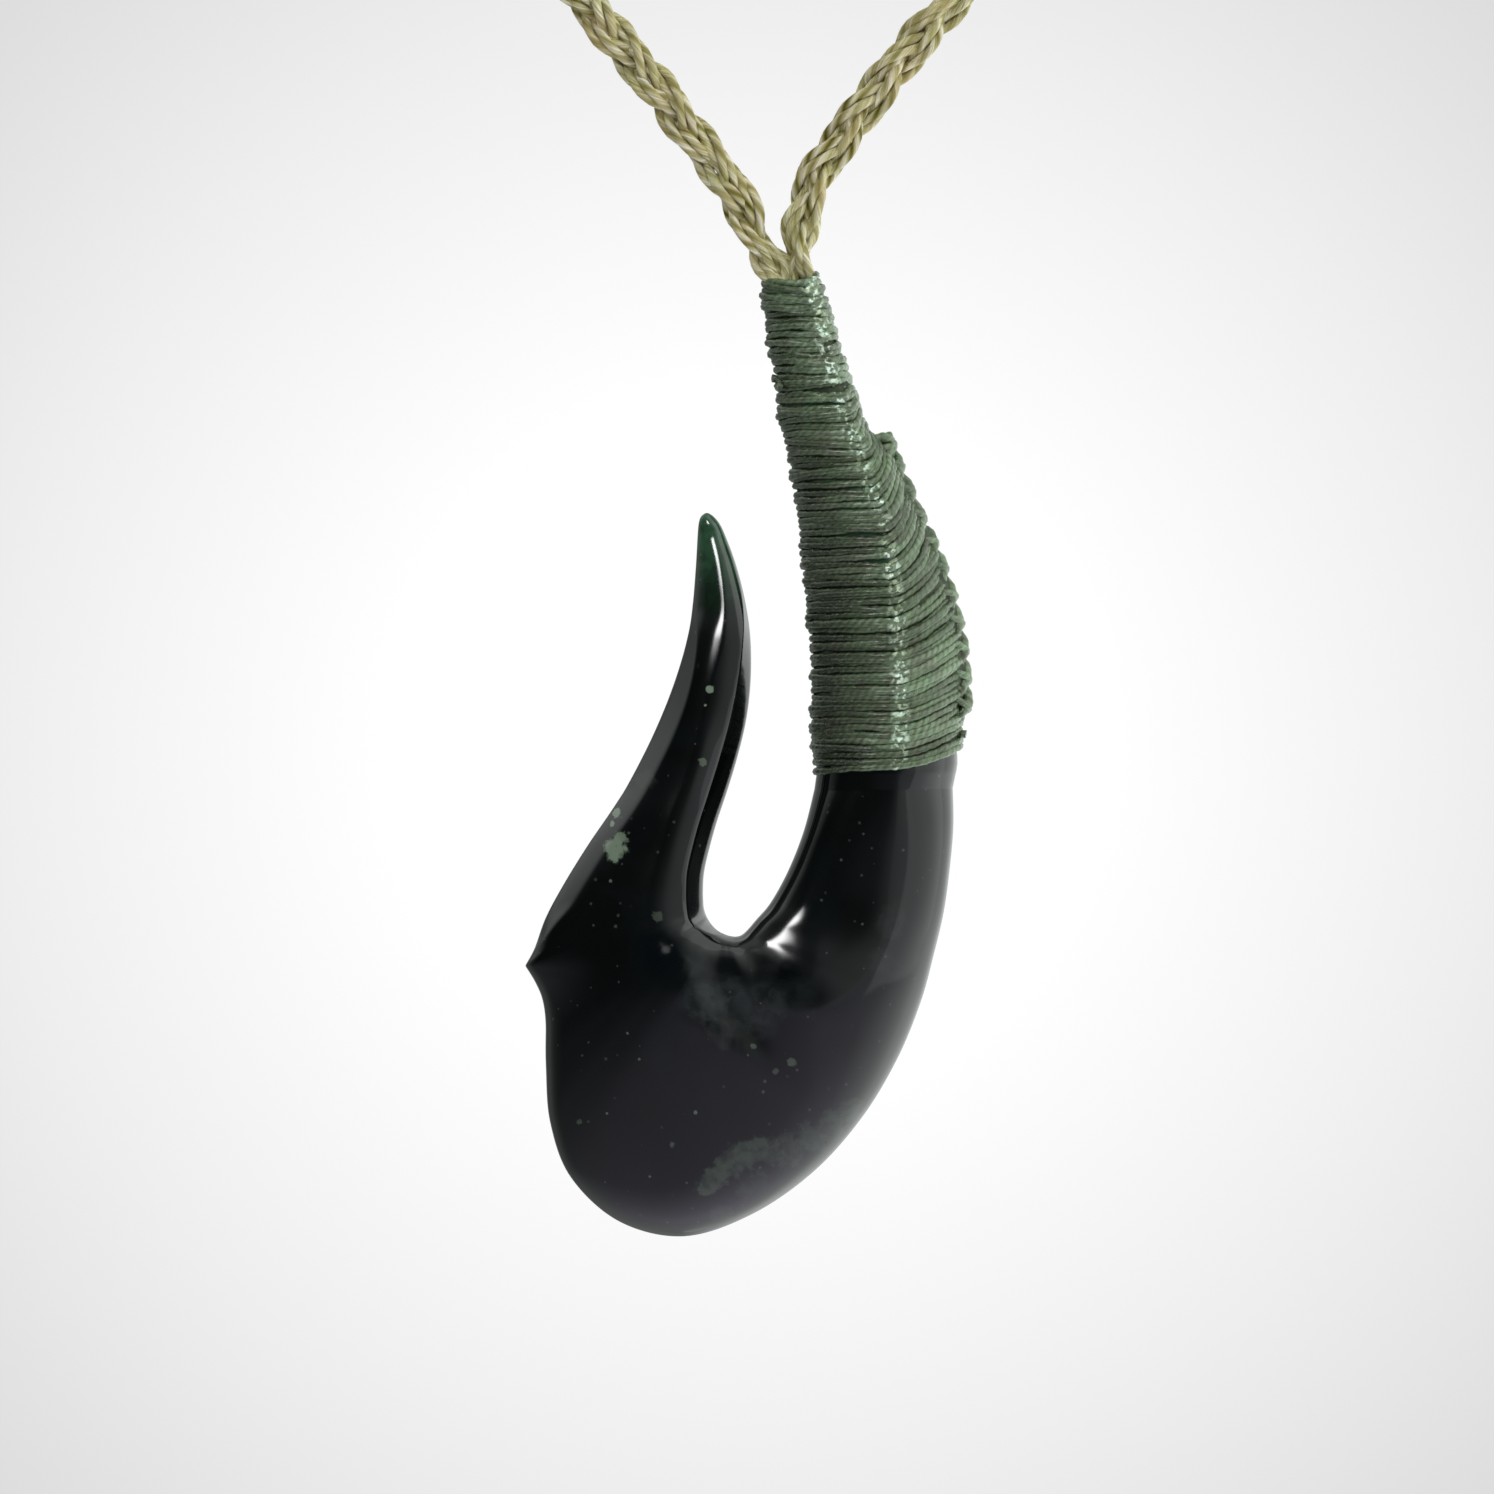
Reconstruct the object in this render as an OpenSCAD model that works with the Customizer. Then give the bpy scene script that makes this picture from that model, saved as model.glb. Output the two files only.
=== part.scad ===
// Carved stone fish-hook pendant on a wound binding, hung from a three-strand plait
// Millimetres. The origin is the nape, where the plait rests; +X to the right, +Z up, the front faces -Y
// The pendant's own tables are measured from the middle of the binding's top edge

/* [Pendant] */
// How far the binding's top hangs under the nape
drop_height = 190; // [186:1:194]
// How far the pendant stands in front of the nape
drop_reach = 112; // [110:1:114]
// Sideways place of the binding's top, so that the two legs of the plait meet evenly
drop_shift = 1.5; // [1:0.5:2]

/* [Stone] */
// Thickness of the stone, as a share of the table's thickness
stone_fullness = 1; // [0.9:0.05:1.1]
// Flats round each section of the stone
stone_sides = 20; // [12:4:24]

/* [Binding] */
// Thickness of the wound thread's layer
wrap_wall = 0.5; // [0.4:0.05:0.6]
// Clearance between the binding and the stone in it
wrap_gap = 0.14; // [0.1:0.02:0.2]
// Flats round the binding
wrap_sides = 20; // [12:4:24]
// Loops in the hitched ridge on the binding's edge
hitch_count = 10; // [8:1:12]
// Half the width of the hitched ridge
hitch_r = 0.72; // [0.6:0.02:0.8]

/* [Plait] */
// Length in which each strand crosses the plait and comes back
plait_period = 12.9; // [12:0.1:14]
// Sideways swing of a strand from the plait's middle
plait_swing = 0.92; // [0.9:0.01:1]
// Front-to-back swing of a strand at each crossing
plait_lift = 0.72; // [0.7:0.01:0.8]
// Radius of one strand
strand_r = 0.38; // [0.3:0.01:0.4]
// Flats round a strand
strand_sides = 5; // [5:1:6]
// Sections of a strand in each period
strand_rings = 8; // [8:1:10]
// Size of the plait where the binding squeezes it, as a share of its free size
plait_squeeze = 0.54; // [0.5:0.01:0.6]
// Length over which the plait opens out from the binding
plait_flare = 8; // [6:1:10]

/* [Hidden] */

drop = [drop_shift, -drop_reach, -drop_height];

// Binding, a row for each level: z, left x, right x, thickness, ridge x, roundness left, roundness right
WRAP = [
    [0.0, -2.0, 2.0, 3.5, 0.6, 2.3, 2.3],
    [-1.6, -1.9, 2.5, 4.0, 1.1, 2.3, 2.2],
    [-3.3, -1.7, 2.95, 4.3, 1.7, 2.3, 2.1],
    [-4.9, -1.5, 3.5, 4.6, 2.3, 2.3, 2.1],
    [-6.5, -1.1, 3.9, 4.8, 2.8, 2.3, 2.0],
    [-8.2, -0.95, 4.6, 5.1, 3.4, 2.3, 2.0],
    [-9.8, -0.8, 5.05, 5.4, 4.0, 2.2, 2.0],
    [-11.4, -0.3, 5.5, 5.7, 4.5, 2.2, 1.9],
    [-13.1, 0.05, 6.2, 6.0, 5.0, 2.2, 1.8],
    [-14.8, 0.2, 6.9, 6.3, 5.5, 2.2, 1.7],
    [-16.6, 0.55, 7.7, 6.6, 6.0, 2.2, 1.6],
    [-19.3, 0.8, 8.9, 7.0, 6.5, 2.2, 1.5],
    [-22.4, 1.1, 9.9, 7.3, 6.8, 2.2, 1.45],
    [-24.5, 1.25, 10.4, 7.5, 7.0, 2.2, 1.45],
    [-26.5, 1.4, 10.7, 7.7, 7.1, 2.2, 1.5],
    [-29.2, 1.4, 10.8, 7.9, 7.25, 2.2, 1.6],
    [-30.6, 1.4, 11.5, 8.0, 7.3, 2.2, 1.8],
    [-32.6, 1.5, 11.7, 8.1, 7.4, 2.2, 1.9],
    [-33.9, 1.6, 11.45, 8.1, 7.5, 2.2, 2.0]
];

// Stone below the binding, a row for each section that fans out from the bite to the outline:
// bite x, bite z, outline x, outline z, thickness, ridge as a share from the bite,
// roundness towards the bite, roundness towards the outline
STONE = [
    [1.55, -34.9, 11.15, -34.8, 7.8, 0.62, 2.2, 2.1],
    [0.95, -37.7, 11.1, -37.4, 7.9, 0.61, 2.2, 2.1],
    [-0.1, -40.4, 10.85, -40.3, 8.1, 0.58, 2.2, 2.1],
    [-1.3, -42.6, 10.45, -43.2, 8.4, 0.54, 2.2, 2.1],
    [-2.3, -43.8, 9.8, -46.0, 8.7, 0.48, 2.2, 2.1],
    [-2.9, -44.5, 8.9, -49.3, 9.0, 0.42, 2.2, 2.1],
    [-3.3, -44.85, 7.3, -53.2, 9.2, 0.38, 2.2, 2.1],
    [-3.7, -44.95, 4.9, -57.2, 9.4, 0.34, 2.2, 2.1],
    [-4.1, -44.9, 1.6, -60.9, 9.5, 0.31, 2.2, 2.1],
    [-4.4, -44.8, -2.6, -63.8, 9.5, 0.29, 2.2, 2.1],
    [-4.7, -44.65, -7.2, -65.3, 9.5, 0.27, 2.2, 2.1],
    [-5.0, -44.45, -11.6, -64.3, 9.4, 0.26, 2.3, 2.1],
    [-5.25, -44.2, -14.9, -61.3, 9.2, 0.26, 2.3, 2.0],
    [-5.45, -43.95, -16.3, -57.6, 9.0, 0.26, 2.3, 1.9],
    [-5.6, -43.7, -16.6, -53.8, 8.8, 0.26, 2.4, 1.8],
    [-5.7, -43.5, -16.6, -50.9, 8.7, 0.25, 2.4, 1.75],
    [-5.78, -43.3, -16.95, -49.2, 8.6, 0.24, 2.4, 1.7],
    [-5.84, -43.1, -17.6, -48.1, 8.5, 0.23, 2.5, 1.7],
    [-5.88, -42.9, -17.95, -46.95, 8.4, 0.22, 2.5, 1.7],
    [-5.9, -42.6, -17.45, -45.7, 8.3, 0.2, 2.5, 1.7],
    [-5.92, -41.8, -16.3, -43.6, 8.0, 0.18, 2.5, 1.7],
    [-5.85, -40.6, -14.9, -41.3, 7.5, 0.18, 2.5, 1.7],
    [-5.55, -39.2, -13.4, -38.7, 7.0, 0.19, 2.5, 1.7],
    [-5.0, -37.2, -11.95, -36.2, 6.5, 0.21, 2.5, 1.7],
    [-4.3, -35.1, -10.6, -33.8, 6.0, 0.24, 2.4, 1.7],
    [-3.6, -32.8, -9.35, -31.3, 5.5, 0.28, 2.4, 1.7],
    [-3.0, -30.3, -8.25, -28.7, 5.0, 0.32, 2.3, 1.7],
    [-2.7, -27.9, -7.4, -26.2, 4.5, 0.37, 2.3, 1.7],
    [-2.65, -25.6, -6.85, -24.0, 4.1, 0.42, 2.2, 1.8],
    [-2.8, -23.6, -6.6, -22.2, 3.7, 0.47, 2.1, 1.8],
    [-3.2, -21.4, -6.45, -20.4, 3.2, 0.5, 2.0, 1.8],
    [-3.75, -19.4, -6.35, -18.9, 2.7, 0.5, 2.0, 1.9],
    [-4.3, -17.9, -6.28, -17.6, 2.1, 0.5, 2.0, 2.0],
    [-4.75, -16.9, -6.2, -16.8, 1.5, 0.5, 2.0, 2.0],
    [-5.2, -16.35, -6.05, -16.35, 0.8, 0.5, 2.0, 2.0],
    [-5.55, -16.12, -5.75, -16.12, 0.2, 0.5, 2.0, 2.0]
];
// Level at which the stone's head ends inside the binding, under the ends of the plait
stone_top = -7.4;
// Depth of the rounded end of the stone's head
stone_dome = 0.9;

// Middle of the hitched ridge, from the pendant's own zero: x, z
HITCH_PATH = [
    [6.35, -10.9], [7.2, -13.1], [7.95, -14.9], [8.75, -16.7], [9.95, -19.4],
    [10.9, -22.3], [11.35, -24.5], [11.65, -26.6], [11.75, -28.9]
];

// Route of the plait's middle, chosen by hand; the legs are measured from the binding's top
LEFT_LEG = [
    [0.5, 0, -5.5], [-0.1, 0, -3.3], [-0.7, 0, 0], [-1.5, 0, 1.1], [-2.3, 0, 2.5],
    [-3.0, 0, 4.1], [-4.3, 0, 6.5], [-6.2, 0, 9.0], [-9.9, 0, 13.8], [-14.0, 0, 18.8]
];
RIGHT_LEG = [
    [11.1, 0, 18.8], [6.8, 0, 13.8], [3.3, 0, 9.0], [1.6, 0, 6.5], [0.85, 0, 4.1],
    [0.65, 0, 2.5], [0.62, 0, 1.1], [0.7, 0, 0], [1.3, 0, -3.3], [1.9, 0, -5.5]
];
// Right half of the worn loop, from the nape round the neck to the breast
HALF_LOOP = [
    [22, -2.5, -1.5], [40.5, -11, -6.5], [54.5, -22, -14.5], [64.5, -35, -25.5],
    [69.5, -49.5, -39], [70.5, -64, -55], [67.5, -77, -72.5], [61.5, -88, -91.5],
    [53, -97, -111], [42.5, -104, -130], [31, -108.5, -147], [20, -111, -161.5]
];
NAPE = [0, 1.5, 0.5];
ROUTE = concat(
    [for (p = LEFT_LEG) drop + p],
    [for (i = [len(HALF_LOOP) - 1 : -1 : 0]) [-HALF_LOOP[i][0], HALF_LOOP[i][1], HALF_LOOP[i][2]]],
    [NAPE],
    HALF_LOOP,
    [for (p = RIGHT_LEG) drop + p]
);
route_steps = 6;
// Middle of the neck, which the plait's flat side faces away from
neck_middle = [0, -58];
// The plait turns its edge to the front as it enters the binding
end_turn = 90;

// Vector and spline helpers
function unit(v) = v / norm(v);
function between(a, b, c, d, t) =
    ((2 * b) + (c - a) * t + (2 * a - 5 * b + 4 * c - d) * t * t + (3 * b - a - 3 * c + d) * t * t * t) / 2;
function smooth(rows, steps) = let (last = len(rows) - 1) [
    for (i = [0 : last - 1], k = [0 : steps - 1])
        between(rows[max(i - 1, 0)], rows[i], rows[i + 1], rows[min(i + 2, last)], k / steps),
    rows[last]
];
function running(p, i = 0, sum = 0, out = []) =
    i == len(p) ? out : running(p, i + 1, sum + (i + 1 < len(p) ? norm(p[i + 1] - p[i]) : 0), concat(out, [sum]));

// Closed section with its own half widths and roundness on each side of the ridge: [across, thick]
function section(left, right, half, p_left, p_right, sides) = [
    for (i = [0 : sides - 1]) let (
        a = 360 * i / sides,
        c = cos(a),
        s = sin(a),
        p = c < 0 ? p_left : p_right,
        reach = c < 0 ? left : right
    ) [sign(c) * reach * pow(abs(c), 2 / p), sign(s) * half * pow(abs(s), 2 / p)]
];

// Triangles between neighbouring rings; turn = true faces them inwards
function skin(first, rings, sides, turn = false) = [
    for (r = [0 : rings - 2], i = [0 : sides - 1]) let (
        a = first + r * sides + i,
        b = first + r * sides + (i + 1) % sides,
        c = b + sides,
        d = a + sides
    ) each turn ? [[a, c, b], [a, d, c]] : [[a, b, c], [a, c, d]]
];
function cap(first, sides, turn = false) =
    [for (i = [1 : sides - 2]) turn ? [first, first + i + 1, first + i] : [first, first + i, first + i + 1]];
module tube(points, rings, sides) {
    faces = concat(skin(0, rings, sides), cap(0, sides, true), cap((rings - 1) * sides, sides));
    polyhedron(points, faces);
}

// One level ring of the binding, drawn in by inset
function wrap_ring(row, inset, sides) = [
    for (q = section(row[4] - row[1] - inset, row[2] - row[4] - inset, row[3] / 2 - inset, row[5], row[6], sides))
        drop + [row[4] + q[0], -q[1], row[0]]
];

// One fanned ring of the stone
function stone_ring(row, sides) = let (
    bite = [row[0], row[1]],
    rim = [row[2], row[3]],
    width = norm(rim - bite),
    along = (rim - bite) / width,
    ridge = bite + (rim - bite) * row[5]
) [
    for (q = section(width * row[5], width * (1 - row[5]), stone_fullness * row[4] / 2, row[6], row[7], sides))
        drop + [ridge[0] + along[0] * q[0], -q[1], ridge[1] + along[1] * q[0]]
];

module stone_hook() {
    inset = wrap_wall + wrap_gap;
    head = [for (row = WRAP) if (row[0] < stone_top) row];
    crown = concat([stone_top], [for (i = [1 : 6]) head[0][i]]);
    shoulder = concat([WRAP[len(WRAP) - 1][0] - wrap_gap], [for (i = [1 : 6]) WRAP[len(WRAP) - 1][i]]);
    rings = concat(
        [wrap_ring(crown, inset + stone_dome, stone_sides)],
        [wrap_ring(crown - [stone_dome / 3, 0, 0, 0, 0, 0, 0], inset + stone_dome / 4, stone_sides)],
        [for (row = head) wrap_ring(row, inset, stone_sides)],
        [wrap_ring(shoulder, inset, stone_sides)],
        [for (row = STONE) stone_ring(row, stone_sides)]
    );
    color("#14231f") tube([for (ring = rings) each ring], len(rings), stone_sides);
}

module binding() {
    count = len(WRAP);
    half = count * wrap_sides;
    outer = [for (row = WRAP) each wrap_ring(row, 0, wrap_sides)];
    inner = [for (row = WRAP) each wrap_ring(row, wrap_wall, wrap_sides)];
    rims = [
        for (i = [0 : wrap_sides - 1]) let (
            j = (i + 1) % wrap_sides,
            low = half - wrap_sides
        ) each [
            [i, half + j, j],
            [i, half + i, half + j],
            [low + i, low + j, half + low + j],
            [low + i, half + low + j, half + low + i]
        ]
    ];
    color("#4c5f52") polyhedron(
        concat(outer, inner),
        concat(skin(0, count, wrap_sides), skin(half, count, wrap_sides, true), rims)
    );
}

module edge_hitching() {
    sides = 6;
    path = smooth(HITCH_PATH, 6);
    far = running(path);
    total = far[len(far) - 1];
    per_loop = 4;
    count = hitch_count * per_loop;
    function at(s) = [lookup(s, [for (i = [0 : len(far) - 1]) [far[i], path[i][0]]]), 0,
        lookup(s, [for (i = [0 : len(far) - 1]) [far[i], path[i][1]]])];
    points = [
        for (k = [0 : count]) let (
            s = total * k / count,
            along = unit(at(min(s + 0.1, total)) - at(max(s - 0.1, 0))),
            across = [-along[2], 0, along[0]],
            puff = hitch_r * (0.8 + 0.2 * cos(360 * k / per_loop + 180))
        ) for (i = [0 : sides - 1])
            drop + at(s) + puff * (across * cos(360 * i / sides) + [0, sin(360 * i / sides), 0])
    ];
    color("#46594c") tube(points, count + 1, sides);
}

// Plait: the middle line, its length, and a lookup table for each coordinate
MIDDLE = smooth(ROUTE, route_steps);
FAR = running(MIDDLE);
loop_length = FAR[len(FAR) - 1];
MIDDLE_X = [for (i = [0 : len(FAR) - 1]) [FAR[i], MIDDLE[i][0]]];
MIDDLE_Y = [for (i = [0 : len(FAR) - 1]) [FAR[i], MIDDLE[i][1]]];
MIDDLE_Z = [for (i = [0 : len(FAR) - 1]) [FAR[i], MIDDLE[i][2]]];
function middle(s) = [lookup(s, MIDDLE_X), lookup(s, MIDDLE_Y), lookup(s, MIDDLE_Z)];

// How far the plait has opened out, from 0 in the binding to 1 when it is free
inside = 5.6;
function opened(s) = let (
    t = min(1, max(0, (min(s, loop_length - s) - inside) / plait_flare))
) t * t * (3 - 2 * t);

// Frame of the plait at s: along it, away from the neck, and across its flat side
function plait_frame(s) = let (
    p = middle(s),
    along = unit(middle(min(s + 1, loop_length)) - middle(max(s - 1, 0))),
    out = [p[0] - neck_middle[0], p[1] - neck_middle[1], 0],
    away = unit(out - along * (along * out)),
    side = cross(along, away),
    turn = end_turn * (1 - opened(s))
) [along, away * cos(turn) + side * sin(turn), side * cos(turn) - away * sin(turn)];

function strand_point(s, phase) = let (
    f = plait_frame(s),
    size = plait_squeeze + (1 - plait_squeeze) * opened(s)
) middle(s) + size * (plait_swing * sin(phase) * f[2] + plait_lift * sin(2 * phase) * f[1]);

module plait_strand(turn) {
    share = turn / 3;
    first = ceil(share * strand_rings);
    last = floor((loop_length / plait_period + share) * strand_rings);
    stations = [for (k = [first : last]) (k / strand_rings - share) * plait_period];
    mids = [for (s = stations) strand_point(s, 360 * (s / plait_period + share))];
    end = len(mids) - 1;
    points = [
        for (k = [0 : end]) let (
            along = unit(mids[min(k + 1, end)] - mids[max(k - 1, 0)]),
            out = plait_frame(stations[k])[1],
            u = unit(out - along * (along * out)),
            v = cross(along, u),
            r = strand_r * (plait_squeeze + (1 - plait_squeeze) * opened(stations[k]))
        ) for (i = [0 : strand_sides - 1])
            mids[k] + r * (u * cos(360 * i / strand_sides) + v * sin(360 * i / strand_sides))
    ];
    color("#a39a72") tube(points, len(mids), strand_sides);
}
module plait_strand_a() { plait_strand(0); }
module plait_strand_b() { plait_strand(1); }
module plait_strand_c() { plait_strand(2); }

stone_hook();
binding();
edge_hitching();
plait_strand_a();
plait_strand_b();
plait_strand_c();
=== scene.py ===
import bpy
import math
import numpy as np
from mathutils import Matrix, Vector


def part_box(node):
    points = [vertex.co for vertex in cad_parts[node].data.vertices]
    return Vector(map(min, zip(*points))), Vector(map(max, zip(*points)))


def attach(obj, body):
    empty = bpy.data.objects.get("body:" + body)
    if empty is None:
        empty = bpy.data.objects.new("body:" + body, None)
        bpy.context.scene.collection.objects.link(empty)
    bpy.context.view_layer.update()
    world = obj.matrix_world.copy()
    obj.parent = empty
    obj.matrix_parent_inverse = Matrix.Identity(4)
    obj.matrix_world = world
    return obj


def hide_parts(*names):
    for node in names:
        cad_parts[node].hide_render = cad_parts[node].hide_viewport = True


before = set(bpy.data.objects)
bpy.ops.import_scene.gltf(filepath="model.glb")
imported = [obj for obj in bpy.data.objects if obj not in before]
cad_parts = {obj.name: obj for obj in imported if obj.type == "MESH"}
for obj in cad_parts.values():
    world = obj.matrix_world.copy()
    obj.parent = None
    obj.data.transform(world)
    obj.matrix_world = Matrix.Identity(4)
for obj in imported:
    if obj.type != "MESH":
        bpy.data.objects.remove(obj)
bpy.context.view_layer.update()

mm = 0.001
fullTurn = 2 * math.pi
bindingTopX = 0.0015         # metres from the nape's middle to the binding's
bindingLow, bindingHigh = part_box("binding")
# The pendant's zero is the middle of the binding's top
pendantZero = np.array([bindingTopX, (bindingLow.y + bindingHigh.y) / 2, bindingHigh.z])
print("frame loaded, pendant zero at", [round(float(v), 4) for v in pendantZero])


def placeObject(name, data):
    thing = bpy.data.objects.new(name, data)
    bpy.context.scene.collection.objects.link(thing)
    return thing


# Camera, square on to the pendant, with the photo's framing
cameraSettings = {
    "photoPixels": 1494,
    "mmPerPixel": 0.068,
    "bindingTopPixel": (790, 276),   # where the pendant's zero shows in the photo
    "distance": 0.45,
    "sensor": 36.0,
    "clip": (0.01, 20),
}


def makeCamera(s):
    half = s["photoPixels"] / 2
    width = s["photoPixels"] * s["mmPerPixel"] * mm
    right = (half - s["bindingTopPixel"][0]) * s["mmPerPixel"] * mm
    up = (s["bindingTopPixel"][1] - half) * s["mmPerPixel"] * mm
    data = bpy.data.cameras.new("photoCamera")
    data.sensor_width = s["sensor"]
    data.lens = s["sensor"] * s["distance"] / width
    data.clip_start, data.clip_end = s["clip"]
    camera = placeObject("photoCamera", data)
    camera.location = (pendantZero[0] + right, pendantZero[1] - s["distance"], pendantZero[2] + up)
    camera.rotation_euler = (math.pi / 2, 0, 0)
    bpy.context.scene.camera = camera
    return camera


photoCamera = makeCamera(cameraSettings)
viewCentre = Vector((photoCamera.location.x, pendantZero[1], photoCamera.location.z))
print("camera set")


# Small helpers for splines and meshes
def splineRows(rows, steps):
    # Catmull-Rom through the rows, all columns together
    table = np.array(rows, float)
    padded = np.vstack([table[:1], table, table[-1:]])
    out = []
    for i in range(len(table) - 1):
        a, b, c, d = padded[i:i + 4]
        for t in np.arange(steps) / steps:
            out.append((2 * b + (c - a) * t + (2 * a - 5 * b + 4 * c - d) * t ** 2
                        + (3 * b - a - 3 * c + d) * t ** 3) / 2)
    out.append(table[-1])
    return np.array(out)


def smoothStep(low, high, value):
    t = np.clip((np.asarray(value, float) - low) / (high - low), 0, 1)
    return t * t * (3 - 2 * t)


def riseAndFade(levels, value):
    # levels: where it begins, is full, fades and ends
    return smoothStep(levels[0], levels[1], value) * (1 - smoothStep(levels[2], levels[3], value))


def readDown(table, z):
    # The second column at a level, from rows that run downwards
    levels, values = zip(*table[::-1])
    return np.interp(z, levels, values)


def distanceAlong(points):
    return np.concatenate([[0], np.cumsum(np.linalg.norm(np.diff(points, axis=0), axis=1))])


def toFrame(points):
    # From mm about the pendant's zero to metres in the frame
    return np.asarray(points) * mm + pendantZero


sectionSettings = {
    "ease": 0.05,            # how gently the outer slope begins at the ridge
    "outerCut": (0.30, 0.45),    # share of the thickness left at the edge, steepness of the bevel
    "innerCut": (0.32, 0.58),
    "leastCut": 0.02,        # a smaller share of a side has no bevel
    "cutBlend": 0.04,        # how softly a bevel meets the face
}


def sectionShape(angle, left, right, half, roundLeft, roundRight, slope=0.0, bevel=0.0, innerSlope=0.0,
                 innerBevel=0.0):
    # Across and thick, measured from the ridge; the slopes thin each side evenly towards its edge,
    # and the bevels are the shares of each side that are cut off at a steeper angle
    s = sectionSettings
    cosine, sine = np.cos(angle), np.sin(angle)
    onRight = cosine >= 0
    power = np.where(onRight, roundRight, roundLeft)
    reach = np.abs(cosine) ** (2 / power)
    across = np.where(onRight, right, -left) * reach
    face = np.where(onRight, 1 - slope * reach * reach / (reach + s["ease"]) * (1 + s["ease"]),
                    1 - innerSlope * reach)

    def cutOff(share, foot, steep):
        cut = foot + (1 - reach) / max(share, s["leastCut"]) * steep
        soft = s["cutBlend"]
        blend = np.clip(0.5 + (cut - face) / (2 * soft), 0, 1)
        lower = cut * (1 - blend) + face * blend - soft * blend * (1 - blend)
        return lower if share > s["leastCut"] else face

    thin = np.where(onRight, cutOff(bevel, *s["outerCut"]), cutOff(innerBevel, *s["innerCut"]))
    thick = np.sign(sine) * half * np.abs(sine) ** (2 / power) * thin
    return across, thick


def pointOutwards(piece):
    mesh = piece.data
    volume = 0.0
    for face in mesh.polygons:
        corners = [mesh.vertices[v].co for v in face.vertices]
        for k in range(1, len(corners) - 1):
            volume += corners[0].dot(corners[k].cross(corners[k + 1]))
    if volume < 0:
        mesh.flip_normals()


def ringMesh(name, rings, material):
    # rings: array of shape (rings, sides, 3) in metres; both ends are closed
    count, sides = rings.shape[:2]
    faces = []
    for a in range(0, (count - 1) * sides, sides):
        for i in range(sides):
            j = (i + 1) % sides
            faces.append((a + i, a + j, a + sides + j, a + sides + i))
    faces.append(tuple(range(sides - 1, -1, -1)))
    faces.append(tuple((count - 1) * sides + i for i in range(sides)))
    mesh = bpy.data.meshes.new(name)
    mesh.from_pydata(rings.reshape(-1, 3).tolist(), [], faces)
    mesh.validate()
    mesh.update()
    mesh.polygons.foreach_set("use_smooth", [True] * len(mesh.polygons))
    mesh.materials.append(material)
    piece = placeObject(name, mesh)
    pointOutwards(piece)
    return piece


# Shader helpers and shared effects
def addNode(tree, kind, values=None, **settings):
    # A value that is a socket is linked, any other is set
    node = tree.nodes.new(kind)
    for key, value in settings.items():
        setattr(node, key, value)
    for key, value in (values or {}).items():
        if isinstance(value, bpy.types.NodeSocket):
            tree.links.new(value, node.inputs[key])
        else:
            node.inputs[key].default_value = value
    return node


def newMaterial(name, constants):
    material = bpy.data.materials.new(name)
    material.use_nodes = True
    tree = material.node_tree
    tree.nodes.clear()
    shader = addNode(tree, "ShaderNodeBsdfPrincipled", constants)
    addNode(tree, "ShaderNodeOutputMaterial", {"Surface": shader.outputs["BSDF"]})
    return material, tree, shader


def newGroup(name, inputs, outputs):
    # inputs: usual values by name, where three numbers make a vector; gives back the inner sockets too
    group = bpy.data.node_groups.new(name, "ShaderNodeTree")
    for label, value in inputs.items():
        kind = "NodeSocketVector" if isinstance(value, tuple) else "NodeSocketFloat"
        group.interface.new_socket(name=label, in_out="INPUT", socket_type=kind).default_value = value
    for label in outputs:
        group.interface.new_socket(name=label, in_out="OUTPUT", socket_type="NodeSocketFloat")
    return group, addNode(group, "NodeGroupInput").outputs, addNode(group, "NodeGroupOutput").inputs


def placeGroup(tree, group, values):
    return addNode(tree, "ShaderNodeGroup", values, node_tree=group).outputs


def mixColour(tree, mask, first, second, blend="MIX"):
    return addNode(tree, "ShaderNodeMix", {0: mask, 6: first, 7: second}, data_type="RGBA",
                   blend_type=blend).outputs[2]


def mathNode(tree, operation, first, second=0.0, third=0.0, clamp=False):
    return addNode(tree, "ShaderNodeMath", {0: first, 1: second, 2: third}, operation=operation,
                   use_clamp=clamp).outputs[0]


def times(tree, first, second):
    return mathNode(tree, "MULTIPLY", first, second)


def timesPlus(tree, first, second, third):
    return mathNode(tree, "MULTIPLY_ADD", first, second, third)


def vectorNode(tree, operation, first, second=(0, 0, 0)):
    return addNode(tree, "ShaderNodeVectorMath", {0: first, 1: second}, operation=operation).outputs


def mapRange(tree, value, low, high, start=0.0, end=1.0, kind="SMOOTHSTEP"):
    return addNode(tree, "ShaderNodeMapRange", {
        "Value": value, "From Min": low, "From Max": high, "To Min": start, "To Max": end},
        interpolation_type=kind).outputs[0]


def objectPlace(tree):
    return addNode(tree, "ShaderNodeTexCoord").outputs["Object"]


def makeMottleGroup():
    # Cloudy variation, as a mask between two limits of a noise
    group, got, give = newGroup("mottle", {
        "Vector": (0, 0, 0), "Scale": 200.0, "Detail": 4.0, "Warp": 0.3, "Low": 0.4, "High": 0.6}, ["Mask"])
    noise = addNode(group, "ShaderNodeTexNoise", {
        "Vector": got["Vector"], "Scale": got["Scale"], "Detail": got["Detail"], "Distortion": got["Warp"]})
    group.links.new(mapRange(group, noise.outputs[0], got["Low"], got["High"]), give["Mask"])
    return group


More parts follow.
